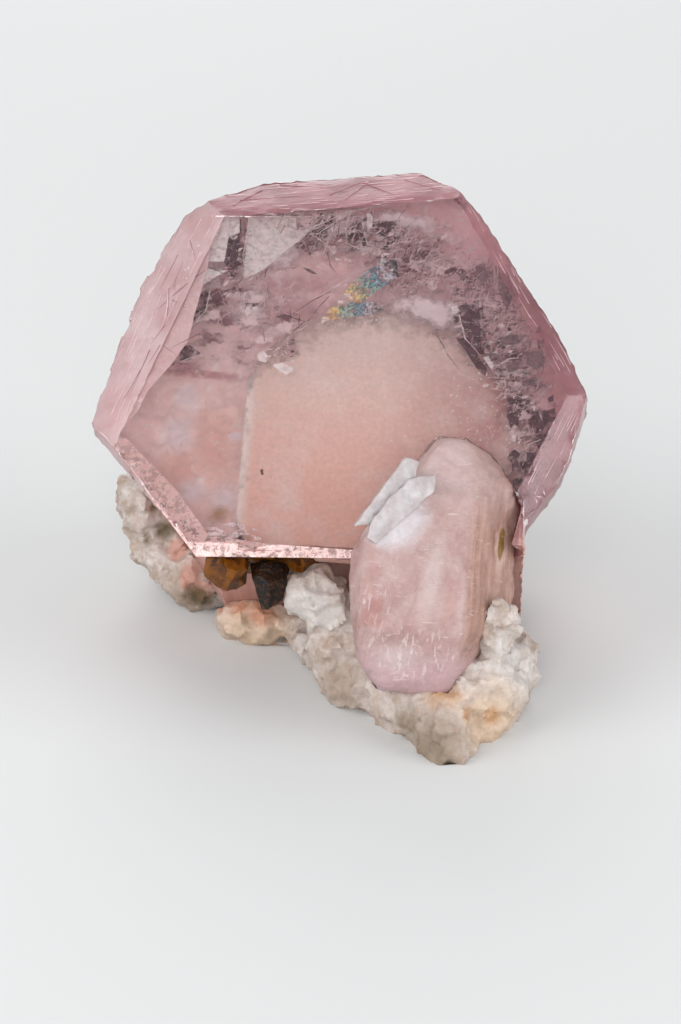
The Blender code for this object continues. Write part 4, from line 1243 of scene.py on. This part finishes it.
def make_room():
    bpy.ops.object.select_all(action="DESELECT")
    bpy.ops.mesh.primitive_plane_add(size=6.0)
    floor = bpy.context.object
    floor.name = "floor"
    floor.data.materials.append(plain_material("matt_backdrop_paper", "D2D2D1", 0.9))
    world = bpy.data.worlds.new("studio")
    world.use_nodes = True
    sky = world.node_tree.nodes["Background"]
    sky.inputs["Color"].default_value = colour("E8ECF0")
    sky.inputs["Strength"].default_value = 0.62
    bpy.context.scene.world = world
    bpy.context.scene.view_settings.view_transform = "Standard"
    for name, place, size, power in LAMPS:
        bpy.ops.object.light_add(type="AREA", location=place)
        lamp = bpy.context.object
        lamp.name = name
        lamp.data.shape = "DISK"
        lamp.data.size = size
        lamp.data.energy = power
        lamp.rotation_euler = (LAMP_AIM - Vector(place)).to_track_quat("-Z", "Y").to_euler()


def make_camera():
    data = bpy.data.cameras.new("camera")
    data.lens = CAMERA_LENS
    data.sensor_fit = "VERTICAL"
    data.sensor_height = CAMERA_LONG_SIDE
    data.clip_start = 0.01
    camera = bpy.data.objects.new("camera", data)
    bpy.context.scene.collection.objects.link(camera)
    e = radians(CAMERA_ELEVATION)
    camera.location = CAMERA_AIM + Vector((0, -cos(e), sin(e))) * CAMERA_DISTANCE
    camera.rotation_euler = (pi / 2 - e, 0, 0)
    bpy.context.scene.camera = camera


make_camera()
make_room()
make_clear_crystal()
make_inner_haze()
make_fibrous_veil()
pale_film = film_material("pale_air_film", "FFFDFC", "F0DEDE", 0.7, 1.0)
thin_film = film_material("thin_air_film", "FFF6F6", "F2D2D6", 0.3, 0.95)
# The dark and grey films are painted shade for the dark surroundings seen through the crystal
dark_shade_film = film_material("dark_shade_air_film", "704452", "2E161C", 0.1, 0.95)
grey_shade_film = film_material("grey_shade_air_film", "9E7E84", "5C3E48", 0.3, 0.9)
make_films("pale_fractures", PALE_FILMS, pale_film)
make_films("dark_shade_fractures", DARK_SHADE_FILMS, dark_shade_film)
make_films("grey_shade_fractures", GREY_SHADE_FILMS, grey_shade_film)
make_crack_lines("dark_shade_cracks", behind_face(DARK_LINES), 0.15, dark_shade_film)
make_crack_lines("pale_cracks", behind_face(PALE_LINES), 0.16, pale_film)
# Painted highlight: pale threads just behind the upper edge of the basal face
make_crack_lines("edge_glints", behind_face(EDGE_HIGHLIGHTS), 0.26, thin_film)
make_films("etched_steps", ETCHED_STEPS, film_material("etched_skin", "FAE0E0", "EFCACC", 0.95, 1.0))
make_films("root_mist", ROOT_MIST, film_material("root_mist", "F6DAD6", "E2B8B2", 0.3, 1.0))
make_crack_lines("bevel_scratches", BEVEL_SCRATCHES, 0.13,
                 plain_material("scratched_beryl", "96606A", 0.5))
make_films("brown_specks", BROWN_SPECKS, plain_material("iron_stain", "6E4414", 0.6))
make_films("upper_rainbow", UPPER_RAINBOW, rainbow_material("upper_rainbow_crack", (3.0, 17.0), 45, 8.5))
make_films("lower_rainbow", LOWER_RAINBOW, rainbow_material("lower_rainbow_crack", (1.0, 12.0), 15, 8.0))
make_scattered_films("dark_shade_splinters", DARK_SHADE_SPLINTERS, dark_shade_film, 3)
make_scattered_films("pale_splinters", PALE_SPLINTERS, thin_film, 8)
make_scattered_films("white_specks", WHITE_SPECKS, pale_film, 17)
make_rim_striae("rim_striae", 110, 0.1, plain_material("pale_ridge", "E6C6C8", 0.4), 5)
make_fibres("dark_fibres", FIBRE_FELT, 0.1, plain_material("dark_thread", "743848", 0.5), 13, share=0.4)
make_fibres("pale_fibres", FIBRE_FELT, 0.09, plain_material("pale_thread", "F7DDE0", 0.4), 21, share=1.6)
make_heart()
make_side_crystal()
make_matrix_rock()
make_blades()
make_quartz()
